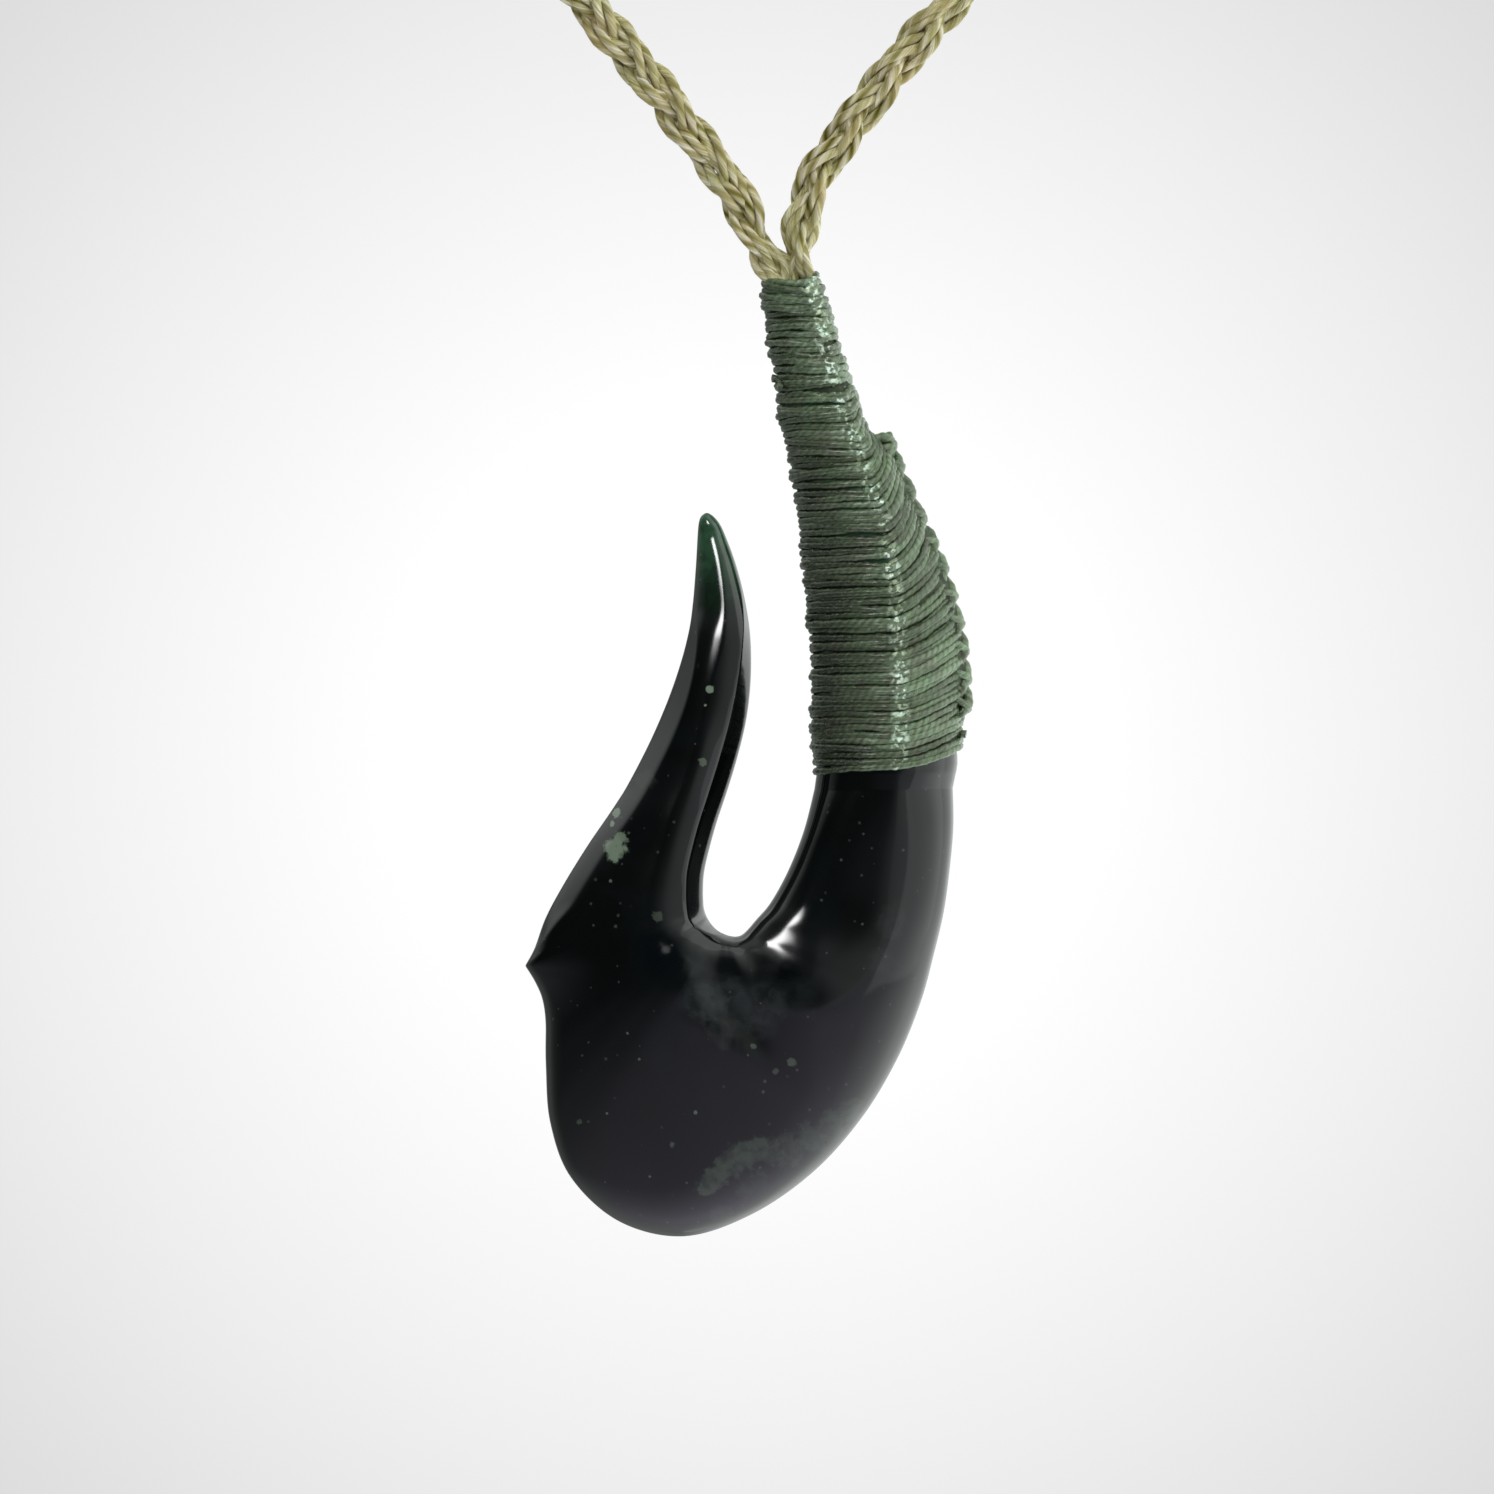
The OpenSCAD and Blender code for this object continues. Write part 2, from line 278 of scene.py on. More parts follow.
def makePatchGroup():
    # One ragged patch round a centre, seen along the frame's Y
    group, got, give = newGroup("ragPatch", {
        "Vector": (0, 0, 0), "Centre": (0, 0, 0), "Radius": 0.002, "Ragged": 0.001, "Grain": 900.0,
        "Softness": 0.2}, ["Mask"])
    noise = addNode(group, "ShaderNodeTexNoise", {
        "Vector": got["Vector"], "Scale": got["Grain"], "Detail": 4.0, "Roughness": 0.65})
    flat = vectorNode(group, "MULTIPLY", got["Vector"], (1, 0, 1))[0]
    far = vectorNode(group, "DISTANCE", flat, got["Centre"])["Value"]
    shift = times(group, mathNode(group, "SUBTRACT", noise.outputs[0], 0.5), got["Ragged"])
    shape = mathNode(group, "DIVIDE", mathNode(group, "ADD", far, shift), got["Radius"])
    edge = mathNode(group, "SUBTRACT", 1.0, got["Softness"])
    group.links.new(mapRange(group, shape, edge, 1.0, 1.0, 0.0), give["Mask"])
    return group


def makeSpeckleGroup():
    # Fine dots, a share of the cells of a Voronoi pattern
    group, got, give = newGroup("speckle", {
        "Vector": (0, 0, 0), "Scale": 900.0, "Size": 0.2, "Share": 0.3}, ["Mask"])
    cells = addNode(group, "ShaderNodeTexVoronoi", {"Vector": got["Vector"], "Scale": got["Scale"]})
    pick = addNode(group, "ShaderNodeSeparateColor", {0: cells.outputs["Color"]}).outputs
    chosen = mathNode(group, "LESS_THAN", pick[0], got["Share"])
    size = times(group, got["Size"], mathNode(group, "ADD", 0.5, pick[1]))
    core = times(group, size, 0.4)
    dot = mapRange(group, cells.outputs["Distance"], core, size, 1.0, 0.0, "LINEAR")
    shown = times(group, chosen, timesPlus(group, pick[2], 0.8, 0.2))
    group.links.new(times(group, dot, shown), give["Mask"])
    return group


fibreSettings = {
    "toneTurn": 40.0,        # how far a thread's own tone turns its streaks
    "lumpTurn": 6.0,         # and how far its lumps turn its twist
    "toneShift": 57.0,       # how far the tone shifts them along
    "alongScale": 260.0,
}


def makeFibreGroup(s):
    # Streaks of twisted fibre along a thread, from the thread's own attributes
    group, got, give = newGroup("twistedFibre", {
        "Along": 0.0, "Cosine": 0.0, "Sine": 0.0, "Tone": 0.0, "Twist Length": 0.002, "Streaks": 3.0,
        "Plies": 2.0}, ["Streak", "Ply", "Wear"])
    turn = mathNode(group, "DIVIDE", got["Along"], got["Twist Length"])
    turn = times(group, turn, fullTurn)
    turn = timesPlus(group, got["Tone"], s["toneTurn"], turn)
    ring = addNode(group, "ShaderNodeCombineXYZ", {0: got["Cosine"], 1: got["Sine"]}).outputs[0]
    twisted = addNode(group, "ShaderNodeVectorRotate", {"Vector": ring, "Angle": turn},
                      rotation_type="Z_AXIS").outputs[0]
    run = timesPlus(group, got["Along"], s["alongScale"], times(group, got["Tone"], s["toneShift"]))
    run = addNode(group, "ShaderNodeCombineXYZ", {2: run}).outputs[0]
    fibres = addNode(group, "ShaderNodeTexNoise", {
        "Vector": vectorNode(group, "ADD", twisted, run)[0], "Scale": got["Streaks"], "Detail": 3.0,
        "Roughness": 0.6})
    group.links.new(fibres.outputs[0], give["Streak"])
    apart = addNode(group, "ShaderNodeSeparateXYZ", {0: twisted}).outputs
    angle = mathNode(group, "ARCTAN2", apart[1], apart[0])
    wave = mathNode(group, "COSINE", times(group, angle, got["Plies"]))
    group.links.new(timesPlus(group, wave, 0.5, 0.5), give["Ply"])
    slow = addNode(group, "ShaderNodeTexNoise", {"Vector": run, "Scale": 0.9, "Detail": 2.0})
    group.links.new(slow.outputs[0], give["Wear"])
    return group


mottleGroup = makeMottleGroup()
patchGroup = makePatchGroup()
speckleGroup = makeSpeckleGroup()
fibreGroup = makeFibreGroup(fibreSettings)


def mottle(tree, here, values):
    return placeGroup(tree, mottleGroup, {"Vector": here, **values})[0]


# Jade: near-black green, with paler inclusions, fine dots, and a point painted brighter green where light
# shines through the thin stone
jadeSettings = {
    "deep": (0.0020, 0.0030, 0.0031, 1),
    "cloud": (0.0032, 0.0050, 0.0060, 1),
    "tipGlowGreen": (0.048, 0.130, 0.066, 1),
    "inclusion": (0.195, 0.255, 0.185, 1),
    "haze": (0.046, 0.062, 0.046, 1),
    "smoke": (0.046, 0.056, 0.056, 1),      # the colour of the hazes above the next level
    "smokeFrom": -54.0,
    "dot": (0.12, 0.12, 0.11, 1),
    "roughness": 0.10,
    "ior": 1.62,
    "greenTop": -16.0,          # mm under the pendant's zero, where the point's painted through-light green is strongest
    "greenEnd": -24.5,
    "clouds": {"Scale": 160.0, "Detail": 5.0, "Warp": 0.8, "Low": 0.42, "High": 0.66},
    "veins": {"Scale": 420.0, "Warp": 1.2, "Low": 0.3, "High": 0.75},
    "veinShares": (0.6, 0.4),   # how much of the green follows the veins, and how much is even
    "broken": {"Scale": 1100.0, "Detail": 5.0, "Warp": 0.6, "Low": 0.36, "High": 0.62},
    "brokenShares": (0.6, 0.45),
    "dots": {"Scale": 1150.0, "Size": 0.12, "Share": 0.75},
    "dotShare": 0.6,
    "hazeSoftness": 0.5,
    "patchSoftness": 0.45,
    "patchGrain": 1500.0,
    "dullSoftness": 0.75,
    "ripple": {"Scale": 260.0, "Detail": 2.0},
    "rippleStrength": 0.03,
    "rippleDepth": 0.0005,
    "patches": [                # x, z, radius, raggedness in mm, strength
        (-11.9, -38.9, 0.90, 1.5, 1.0),
        (-11.5, -38.1, 0.60, 1.3, 0.8),
        (-11.75, -36.5, 0.36, 0.9, 1.0),
        (-12.1, -37.2, 0.24, 0.6, 1.0),
        (-9.9, -34.2, 0.80, 1.9, 0.07),
        (-5.47, -28.15, 0.30, 0.45, 1.3),
        (-5.75, -29.2, 0.12, 0.2, 0.9),
        (-5.9, -33.0, 0.30, 0.9, 0.40),
        (-12.15, -41.1, 0.15, 0.2, 0.5),
        (-8.9, -43.4, 0.42, 1.7, 0.22),
        (-11.0, -51.35, 0.13, 0.2, 0.4),
        (-10.2, -53.1, 0.12, 0.2, 0.4),
        (-12.4, -56.8, 0.14, 0.2, 0.5),
        (-14.3, -57.4, 0.26, 0.5, 0.22),
        (-6.4, -56.7, 0.15, 0.2, 0.5),
        (-8.0, -58.9, 0.28, 0.5, 0.30),
        (-9.5, -61.1, 0.12, 0.2, 0.4),
        (-2.5, -52.2, 0.26, 0.5, 0.30),
        (0.1, -53.3, 0.34, 0.6, 0.30),
        (-1.0, -53.9, 0.24, 0.4, 0.22),
    ],
    "hazes": [                  # the same, and the grain of the ragged edge
        (-5.7, -61.7, 0.80, 2.0, 0.9, 800),
        (-4.9, -61.0, 1.00, 2.2, 0.9, 800),
        (-4.1, -60.3, 1.10, 2.4, 0.9, 800),
        (-3.2, -59.6, 1.20, 2.4, 0.9, 800),
        (-2.2, -59.3, 1.20, 2.4, 0.8, 800),
        (-1.1, -59.5, 1.20, 2.6, 0.6, 700),
        (0.1, -59.2, 1.20, 2.6, 0.6, 700),
        (1.4, -58.5, 1.20, 2.6, 0.6, 700),
        (2.8, -57.7, 1.20, 2.6, 0.6, 700),
        (4.1, -56.7, 1.10, 2.6, 0.6, 700),
        (-2.6, -61.6, 1.30, 3.2, 0.4, 600),
        (-4.6, -63.6, 1.10, 3.2, 0.4, 600),
        (6.9, -43.6, 1.50, 3.4, 0.22, 500),
        (6.3, -46.4, 1.20, 3.4, 0.14, 500),
        (-6.3, -46.8, 1.10, 1.8, 0.20, 500),
        (-5.9, -49.0, 1.80, 2.4, 0.42, 500),
        (-4.2, -48.4, 1.60, 2.8, 0.34, 400),
        (-4.7, -51.2, 1.20, 2.4, 0.30, 500),
        (-2.4, -49.4, 2.60, 3.0, 0.34, 300),
        (0.4, -49.0, 2.00, 3.0, 0.16, 300),
    ],
    "dulls": [                  # spots that mirror less, to hold back stray glints: x, z, radius, share
        (-8.5, -45.75, 2.4, 0.95),
        (-0.2, -46.9, 1.4, 0.95),
        (1.1, -42.9, 1.1, 0.6),
    ],
}


def makeJade(s):
    # The whole polish is the coat, so that spots of it can mirror less; they show on the back too
    material, tree, shader = newMaterial("polishedJade", {
        "IOR": s["ior"], "Specular IOR Level": 0.0, "Coat Roughness": s["roughness"], "Coat IOR": s["ior"]})
    here = objectPlace(tree)

    def patch(x, z, radius, ragged, grain, softness):
        return placeGroup(tree, patchGroup, {
            "Vector": here, "Centre": (pendantZero[0] + x * mm, 0.0, pendantZero[2] + z * mm),
            "Radius": radius * mm, "Ragged": ragged * mm, "Grain": float(grain), "Softness": softness})[0]

    colour = mixColour(tree, mottle(tree, here, s["clouds"]), s["deep"], s["cloud"])
    height = addNode(tree, "ShaderNodeSeparateXYZ", {0: here}).outputs[2]
    # Painted light through the thin point: the stone's green, brighter towards the tip
    tipGlowGreen = mapRange(tree, height, pendantZero[2] + s["greenEnd"] * mm, pendantZero[2] + s["greenTop"] * mm)
    veins = timesPlus(tree, mottle(tree, here, s["veins"]), *s["veinShares"])
    colour = mixColour(tree, times(tree, tipGlowGreen, veins), colour, s["tipGlowGreen"])
    broken = timesPlus(tree, mottle(tree, here, s["broken"]), *s["brokenShares"])
    for x, z, radius, ragged, strength, grain in s["hazes"]:
        mask = times(tree, patch(x, z, radius, ragged, grain, s["hazeSoftness"]), broken)
        veil = s["smoke"] if z > s["smokeFrom"] else s["haze"]
        colour = mixColour(tree, times(tree, mask, strength), colour, veil)
    for x, z, radius, ragged, strength in s["patches"]:
        mask = patch(x, z, radius, ragged, s["patchGrain"], s["patchSoftness"])
        colour = mixColour(tree, times(tree, mask, strength), colour, s["inclusion"])
    dots = placeGroup(tree, speckleGroup, {"Vector": here, **s["dots"]})[0]
    colour = mixColour(tree, times(tree, dots, s["dotShare"]), colour, s["dot"])
    tree.links.new(colour, shader.inputs["Base Color"])
    polish = 1.0
    for x, z, radius, share in s["dulls"]:
        mask = patch(x, z, radius, 0.0, s["patchGrain"], s["dullSoftness"])
        polish = times(tree, polish, timesPlus(tree, mask, -share, 1.0))
    tree.links.new(polish, shader.inputs["Coat Weight"])
    ripple = addNode(tree, "ShaderNodeTexNoise", {"Vector": here, **s["ripple"]})
    bump = addNode(tree, "ShaderNodeBump", {
        "Strength": s["rippleStrength"], "Distance": s["rippleDepth"], "Height": ripple.outputs[0]})
    tree.links.new(bump.outputs[0], shader.inputs["Normal"])
    return material


# Waxed thread of the binding and twisted yarn of the plait share one recipe
threadRecipe = {
    "ior": 1.5,
    "sheenRoughness": 0.4,
    "waxRoughness": 0.2,
    "streakSpan": (0.3, 0.72),
    "wearSpan": (0.4, 0.7),
    "wearShare": 0.35,
    "blotches": {"Detail": 3.0, "Low": 0.42, "High": 0.68},
    "stains": {"Detail": 2.0, "Warp": 0.8, "Low": 0.46, "High": 0.66},
    "wearDepth": 1.2,           # how much darker the painted shade in the ply grooves is where the thread is worn
    "plainDepth": 0.4,
    "streakGloss": -0.15,
    "streakBump": 0.5,
    "bumpStrength": 0.8,
    "bumpDepth": 0.00015,
}
# Painted light and shade on the binding thread: highlight dashes along the crest, and shade on the turns
# left of it
crestLightAndShade = {
    "line": [(0.0, 1.2), (-1.8, 1.7), (-6.7, 2.8), (-13.5, 5.1), (-16.5, 6.2), (-22.3, 7.1), (-28.6, 7.4),
             (-34.0, 7.4)],     # level, x
    "reach": 10.0,              # mm of x that the curve's full height stands for
    # the painted highlight's colour
    "colour": (0.90, 1.0, 0.90, 1),
    "width": (0.2, 0.75),       # full and no painted highlight, mm from the line
    "highlightDashes": {"Scale": 2600.0, "Detail": 2.0, "Low": 0.49, "High": 0.62},
    "highlightDashShares": (0.9, 0.06),
    # painted shade: the turns darken left of the crest, where they face away from the light
    "leftShade": (0.026, 0.022, 0.013, 1),
    "leftShadeShare": 0.88,
    "leftShadeSpan": (0.3, 4.9),     # no and full painted shade, mm left of the line
}


def addCrestLightAndShade(tree, here, colour, s):
    # The crest that the turns bend over: painted highlight dashes along it, and painted shade on the turns
    # left of it
    apart = addNode(tree, "ShaderNodeSeparateXYZ", {0: here}).outputs
    top, end = s["line"][0][0], s["line"][-1][0]
    span = mapRange(tree, apart[2], pendantZero[2] + end * mm, pendantZero[2] + top * mm, kind="LINEAR")
    curve = addNode(tree, "ShaderNodeFloatCurve", {"Value": span})
    points = curve.mapping.curves[0].points
    for k, (high, x) in enumerate(s["line"][::-1]):
        spot = ((high - end) / (top - end), x / s["reach"])
        point = points[0] if k == 0 else points[1] if k == len(s["line"]) - 1 else points.new(*spot)
        point.location = spot
    curve.mapping.update()
    across = mathNode(tree, "SUBTRACT", apart[0], pendantZero[0])
    leftOf = mathNode(tree, "SUBTRACT", curve.outputs[0], mathNode(tree, "DIVIDE", across, s["reach"] * mm))
    # Painted shade, growing further left of the crest line
    leftShade = mapRange(tree, leftOf, *(d / s["reach"] for d in s["leftShadeSpan"]), 0.0, s["leftShadeShare"])
    colour = mixColour(tree, leftShade, colour, s["leftShade"])
    # Painted highlight: pale broken dashes close to the crest line
    width = [w / s["reach"] for w in s["width"]]
    near = mapRange(tree, mathNode(tree, "ABSOLUTE", leftOf), *width, 1.0, 0.0, "LINEAR")
    highlightDashes = timesPlus(tree, mottle(tree, here, s["highlightDashes"]), *s["highlightDashShares"])
    return mixColour(tree, times(tree, near, highlightDashes), colour, s["colour"])


def makeThreadMaterial(name, look):
    s = {**threadRecipe, **look}
    material, tree, shader = newMaterial(name, {
        "Sheen Weight": s["sheen"], "Sheen Roughness": s["sheenRoughness"], "Sheen Tint": s["sheenTint"],
        "IOR": s["ior"], "Specular IOR Level": s["specular"], "Specular Tint": s["shine"],
        "Coat Weight": s["wax"], "Coat Roughness": s["waxRoughness"], "Coat Tint": s["shine"]})

    def attribute(label):
        return addNode(tree, "ShaderNodeAttribute", attribute_name=label).outputs["Fac"]

    tone = attribute("tone")
    fibre = placeGroup(tree, fibreGroup, {
        "Along": attribute("along"), "Cosine": attribute("aroundCos"), "Sine": attribute("aroundSin"),
        "Tone": tone, "Twist Length": s["twist"], "Streaks": s["streaks"], "Plies": s["plies"]})
    streak = mapRange(tree, fibre["Streak"], *s["streakSpan"], kind="LINEAR")
    colour = mixColour(tree, streak, s["shade"], s["light"])
    here = objectPlace(tree)
    blotch = mottle(tree, here, {**s["blotches"], "Scale": s["blotchScale"]})
    colour = mixColour(tree, times(tree, blotch, s["blotch"]), colour, s["other"])
    soiled = mottle(tree, here, {**s["stains"], "Scale": s["stainScale"]})
    colour = mixColour(tree, times(tree, soiled, s["stainShare"]), colour, s["stain"])
    wear = mapRange(tree, fibre["Wear"], *s["wearSpan"], kind="LINEAR")
    colour = mixColour(tree, times(tree, wear, s["wearShare"]), colour, s["pale"])
    # Painted highlight along the crest, and painted shade left of it
    if s["crest"]:
        colour = addCrestLightAndShade(tree, here, colour, s["crest"])
    # Painted shade: the grooves between plies are darkened, more where the thread is worn; the thread's own
    # tone is multiplied in too
    worn = timesPlus(tree, wear, s["wearDepth"], s["plainDepth"])
    depth = times(tree, worn, s["grooveShade"])
    low = times(tree, mathNode(tree, "SUBTRACT", 1.0, fibre["Ply"]), depth)
    shade = timesPlus(tree, tone, s["toneSpan"], 1 - s["toneSpan"] / 2)
    lift = times(tree, mathNode(tree, "SUBTRACT", 1.0, low), shade)
    # Deep places turn warmer, as light bounces from fibre to fibre
    shadow = addNode(tree, "ShaderNodeCombineColor", {
        k: mathNode(tree, "POWER", lift, power) for k, power in enumerate(s["groovePowers"])}).outputs[0]
    colour = mixColour(tree, 1.0, colour, shadow, "MULTIPLY")
    tree.links.new(colour, shader.inputs["Base Color"])
    tree.links.new(timesPlus(tree, streak, s["streakGloss"], s["roughness"]), shader.inputs["Roughness"])
    height = mathNode(tree, "ADD", times(tree, fibre["Ply"], s["plyBump"]),
                      times(tree, fibre["Streak"], s["streakBump"]))
    bump = addNode(tree, "ShaderNodeBump", {
        "Strength": s["bumpStrength"], "Distance": s["bumpDepth"], "Height": height})
    tree.links.new(bump.outputs[0], shader.inputs["Normal"])
    return material


bindingThreadLook = {
    "shade": (0.020, 0.038, 0.016, 1),
    "light": (0.175, 0.250, 0.132, 1),
    "other": (0.068, 0.054, 0.037, 1),      # blotches along the thread
    "pale": (0.42, 0.48, 0.36, 1),          # worn stretches
    "shine": (0.84, 1.0, 0.80, 1),
    "stain": (0.040, 0.050, 0.022, 1), "stainShare": 0.62, "stainScale": 330.0,
    "crest": crestLightAndShade,
    "twist": 1.1 * mm, "plies": 2.0, "streaks": 2.4, "blotch": 0.92, "blotchScale": 620.0,
    "sheen": 0.05, "sheenTint": (0.8, 1.0, 0.85, 1), "roughness": 0.30, "specular": 0.65, "wax": 0.6,
    "grooveShade": 0.42, "groovePowers": (1.0, 1.0, 1.25), "plyBump": 0.4, "toneSpan": 1.1,
}
cordYarnLook = {
    "shade": (0.25, 0.185, 0.022, 1),
    "light": (1.0, 1.0, 0.68, 1),
    "other": (0.74, 0.58, 0.33, 1),
    "pale": (1.0, 1.0, 0.94, 1),
    "shine": (1.0, 0.95, 0.76, 1),
    "stain": (0.86, 0.60, 0.40, 1), "stainShare": 0.15, "stainScale": 120.0,
    "crest": None,
    "twist": 3.2 * mm, "plies": 2.0, "streaks": 2.2, "blotch": 0.4, "blotchScale": 260.0,
    "sheen": 0.14, "sheenTint": (1.0, 0.90, 0.55, 1), "roughness": 0.42, "specular": 0.16, "wax": 0.0,
    "grooveShade": 0.66, "groovePowers": (0.85, 0.9, 1.6), "plyBump": 0.8, "toneSpan": 0.28,
}
jade = makeJade(jadeSettings)
bindingThread = makeThreadMaterial("waxedBindingThread", bindingThreadLook)
cordYarn = makeThreadMaterial("twistedCordYarn", cordYarnLook)
print("materials made")


# Stone: a loft that fans out from the bite to the outline
wrapRows = [  # z, left, right, thickness, ridge x, roundness left, roundness right
    [0.0, -2.0, 2.0, 3.5, 0.6, 2.0, 2.3],
    [-1.6, -1.9, 2.5, 4.0, 1.1, 2.0, 2.2],
    [-3.3, -1.7, 2.95, 4.3, 1.7, 2.0, 2.1],
    [-4.9, -1.5, 3.5, 4.6, 2.3, 2.0, 2.1],
    [-6.5, -1.1, 3.9, 4.8, 2.8, 1.85, 2.0],
    [-8.2, -0.95, 4.6, 5.1, 3.4, 1.85, 2.0],
    [-9.8, -0.8, 5.05, 5.4, 4.0, 1.85, 2.0],
    [-11.4, -0.3, 5.5, 5.7, 4.5, 1.85, 1.9],
    [-13.1, 0.05, 6.2, 6.0, 5.0, 1.72, 1.85],
    [-14.8, 0.2, 6.9, 6.3, 5.5, 1.72, 1.8],
    [-16.6, 0.55, 7.7, 6.6, 6.0, 1.72, 1.75],
    [-19.3, 0.8, 8.9, 7.0, 6.5, 1.72, 1.7],
    [-22.4, 1.1, 9.9, 7.3, 6.8, 1.72, 1.65],
    [-24.5, 1.25, 10.4, 7.5, 7.0, 1.72, 1.65],
    [-26.5, 1.4, 10.7, 7.7, 7.1, 1.72, 1.7],
    [-29.2, 1.4, 10.8, 7.9, 7.25, 1.72, 1.75],
    [-30.6, 1.4, 11.5, 8.0, 7.3, 1.8, 1.85],
    [-32.6, 1.5, 11.7, 8.1, 7.2, 2.2, 2.0],
    [-33.9, 1.6, 11.45, 8.1, 7.1, 2.5, 2.2],
]
hookRows = [  # bite x and z, rim x and z, thickness, ridge share, roundness at bite and rim, slope to rim
    [1.66, -34.9, 11.06, -34.8, 7.80, 0.590, 2.6, 2.3, 0.20],
    [0.95, -37.7, 11.1, -37.4, 7.85, 0.597, 3.3, 2.7, 0.21],
    [-0.1, -40.4, 10.85, -40.3, 7.85, 0.617, 3.5, 3.0, 0.22],
    [-1.3, -42.6, 10.45, -43.2, 7.9, 0.660, 3.7, 2.9, 0.23],
    [-2.3, -43.8, 9.8, -46.0, 8.1, 0.680, 4.3, 2.7, 0.24],
    [-2.9, -44.5, 8.9, -49.3, 8.65, 0.640, 4.8, 2.5, 0.25],
    [-3.3, -44.85, 7.3, -53.2, 9.3, 0.530, 5.0, 2.4, 0.28],
    [-3.7, -44.95, 4.9, -57.2, 9.65, 0.370, 4.3, 2.4, 0.33],
    [-4.1, -44.9, 1.6, -60.9, 9.7, 0.240, 3.8, 2.4, 0.38],
    [-4.4, -44.8, -2.6, -63.8, 9.50, 0.175, 3.4, 2.5, 0.42],
    [-4.7, -44.65, -7.2, -65.3, 9.30, 0.15, 3.1, 2.5, 0.44],
    [-5.0, -44.45, -11.6, -64.3, 9.10, 0.15, 3.0, 2.4, 0.45],
    [-5.25, -44.2, -14.9, -61.3, 8.80, 0.16, 2.95, 2.5, 0.45],
    [-5.45, -43.95, -16.3, -57.6, 8.40, 0.18, 2.9, 2.6, 0.45],
    [-5.6, -43.7, -16.6, -53.8, 8.00, 0.21, 3.0, 2.8, 0.45],
    [-5.7, -43.5, -16.6, -50.9, 7.60, 0.24, 3.0, 2.9, 0.44],
    [-5.78, -43.3, -16.5, -49.2, 7.35, 0.27, 4, 3.0, 0.44],
    [-5.84, -43.1, -16.4, -48.0, 7.20, 0.290, 5.5, 3.0, 0.44],
    [-5.88, -42.9, -16.25, -46.9, 7.05, 0.310, 7, 3.0, 0.44],
    [-5.9, -42.6, -16.0, -45.7, 6.90, 0.320, 8, 3.0, 0.43],
    [-5.92, -41.8, -15.6, -43.6, 6.65, 0.335, 8, 3.0, 0.44],
    [-5.85, -40.6, -14.7, -41.3, 6.40, 0.340, 8, 3.0, 0.44],
    [-5.55, -39.2, -13.4, -38.7, 6.15, 0.360, 8, 3.0, 0.44],
    [-5.0, -37.2, -11.95, -36.2, 5.90, 0.400, 8, 3.1, 0.40],
    [-4.3, -35.1, -10.6, -33.8, 5.65, 0.405, 8, 3.2, 0.36],
    [-3.6, -32.8, -9.35, -31.3, 5.40, 0.440, 8, 3.2, 0.32],
    [-3.0, -30.3, -8.25, -28.7, 5.10, 0.490, 8, 3.2, 0.28],
    [-2.7, -27.9, -7.4, -26.2, 4.75, 0.485, 7, 3.0, 0.25],
    [-2.65, -25.6, -6.85, -24.0, 4.25, 0.420, 5.5, 2.7, 0.23],
    [-2.8, -23.6, -6.6, -22.2, 3.60, 0.400, 4, 2.0, 0.24],
    [-3.2, -21.4, -6.45, -20.4, 2.85, 0.380, 3, 1.9, 0.20],
    [-3.75, -19.4, -6.35, -18.9, 2.10, 0.365, 2.4, 1.85, 0.15],
    [-4.3, -17.9, -6.28, -17.6, 1.40, 0.360, 2.0, 1.85, 0.10],
    [-4.75, -16.9, -6.2, -16.8, 1.10, 0.420, 2.0, 2.0, 0.05],
    [-5.2, -16.35, -6.05, -16.35, 0.65, 0.5, 2.0, 2.0, 0.0],
    [-5.55, -16.12, -5.75, -16.12, 0.20, 0.5, 2.0, 2.0, 0.0],
]
stoneSettings = {
    "sides": 128,
    "headSteps": 3,        # rings from one row to the next, in the head and in the hook
    "steps": 12,
    "headTop": -7.4,       # level of the stone's hidden head, mm
    "headInset": 0.42,     # how far the head lies inside the binding's outline
    "insetEase": (-31.5, -33.9, 0.22),     # levels where the inset shrinks, and by how much
    "insetThick": 0.6,     # share of the inset that also thins the head
    "capInsets": (1.6, 0.9, 0.55),         # rings that round the head's top off
    "barbRow": 18,         # row of the barb's tip
    "barbReach": 1.75,     # how far the barb stands out of the outline, mm
    "barbRise": 5.5,       # rows over which it grows from the point's side
    "barbFall": 3.2,       # rows over which it falls back below
    "barbPowers": (1.25, 1.7),             # how hollow its two flanks are
    "barbShare": (0.6, 1.0),               # where it begins and is full, as shares of the way to the rim
    "creaseFade": (0.02, 9.0),             # the crease's softness at the rim, and how it grows inwards
    "bevelWidth": 1.1,     # width of the cut along the point's outer edge, mm
    "bevelRows": (18.5, 20.5, 25.0, 30.5), # rows where it begins, is full, fades and ends
    "bevelSwell": (26, 20.5, 0.5),         # rows from which it widens towards the barb, and by how much
    "innerWidth": 1.25,    # width of the steep face along the bite, mm
    "innerSlope": 0.20,
    "innerRows": (8.5, 17.5, 25.0, 31.0),
    "dip": 0.75,           # how far the face right of the flare line is hollowed, mm
    "dipWidth": 3.2,       # mm from the flare line to the full hollow
    "flareLean": 0.9,      # cosine of the flare line's lean
    "dipTop": (-43.0, -46.95),             # levels and x between which it begins and is full
    "dipEnd": (-57.4, -47.6),
    "dipRight": (2.0, -2.6),
    "dipTilt": (0.25, -3.0),               # left of this x its top lies lower, by this share
    "dipThick": (0.3, 2.2),                # the thin edges stay out of it
    "flareLine": [(-42.0, -8.6), (-44.5, -8.3), (-46.8, -7.8), (-49.2, -7.1), (-50.9, -5.5), (-52.6, -3.5),
                  (-55.0, -1.0), (-60.0, 3.0)],   # level, x
}


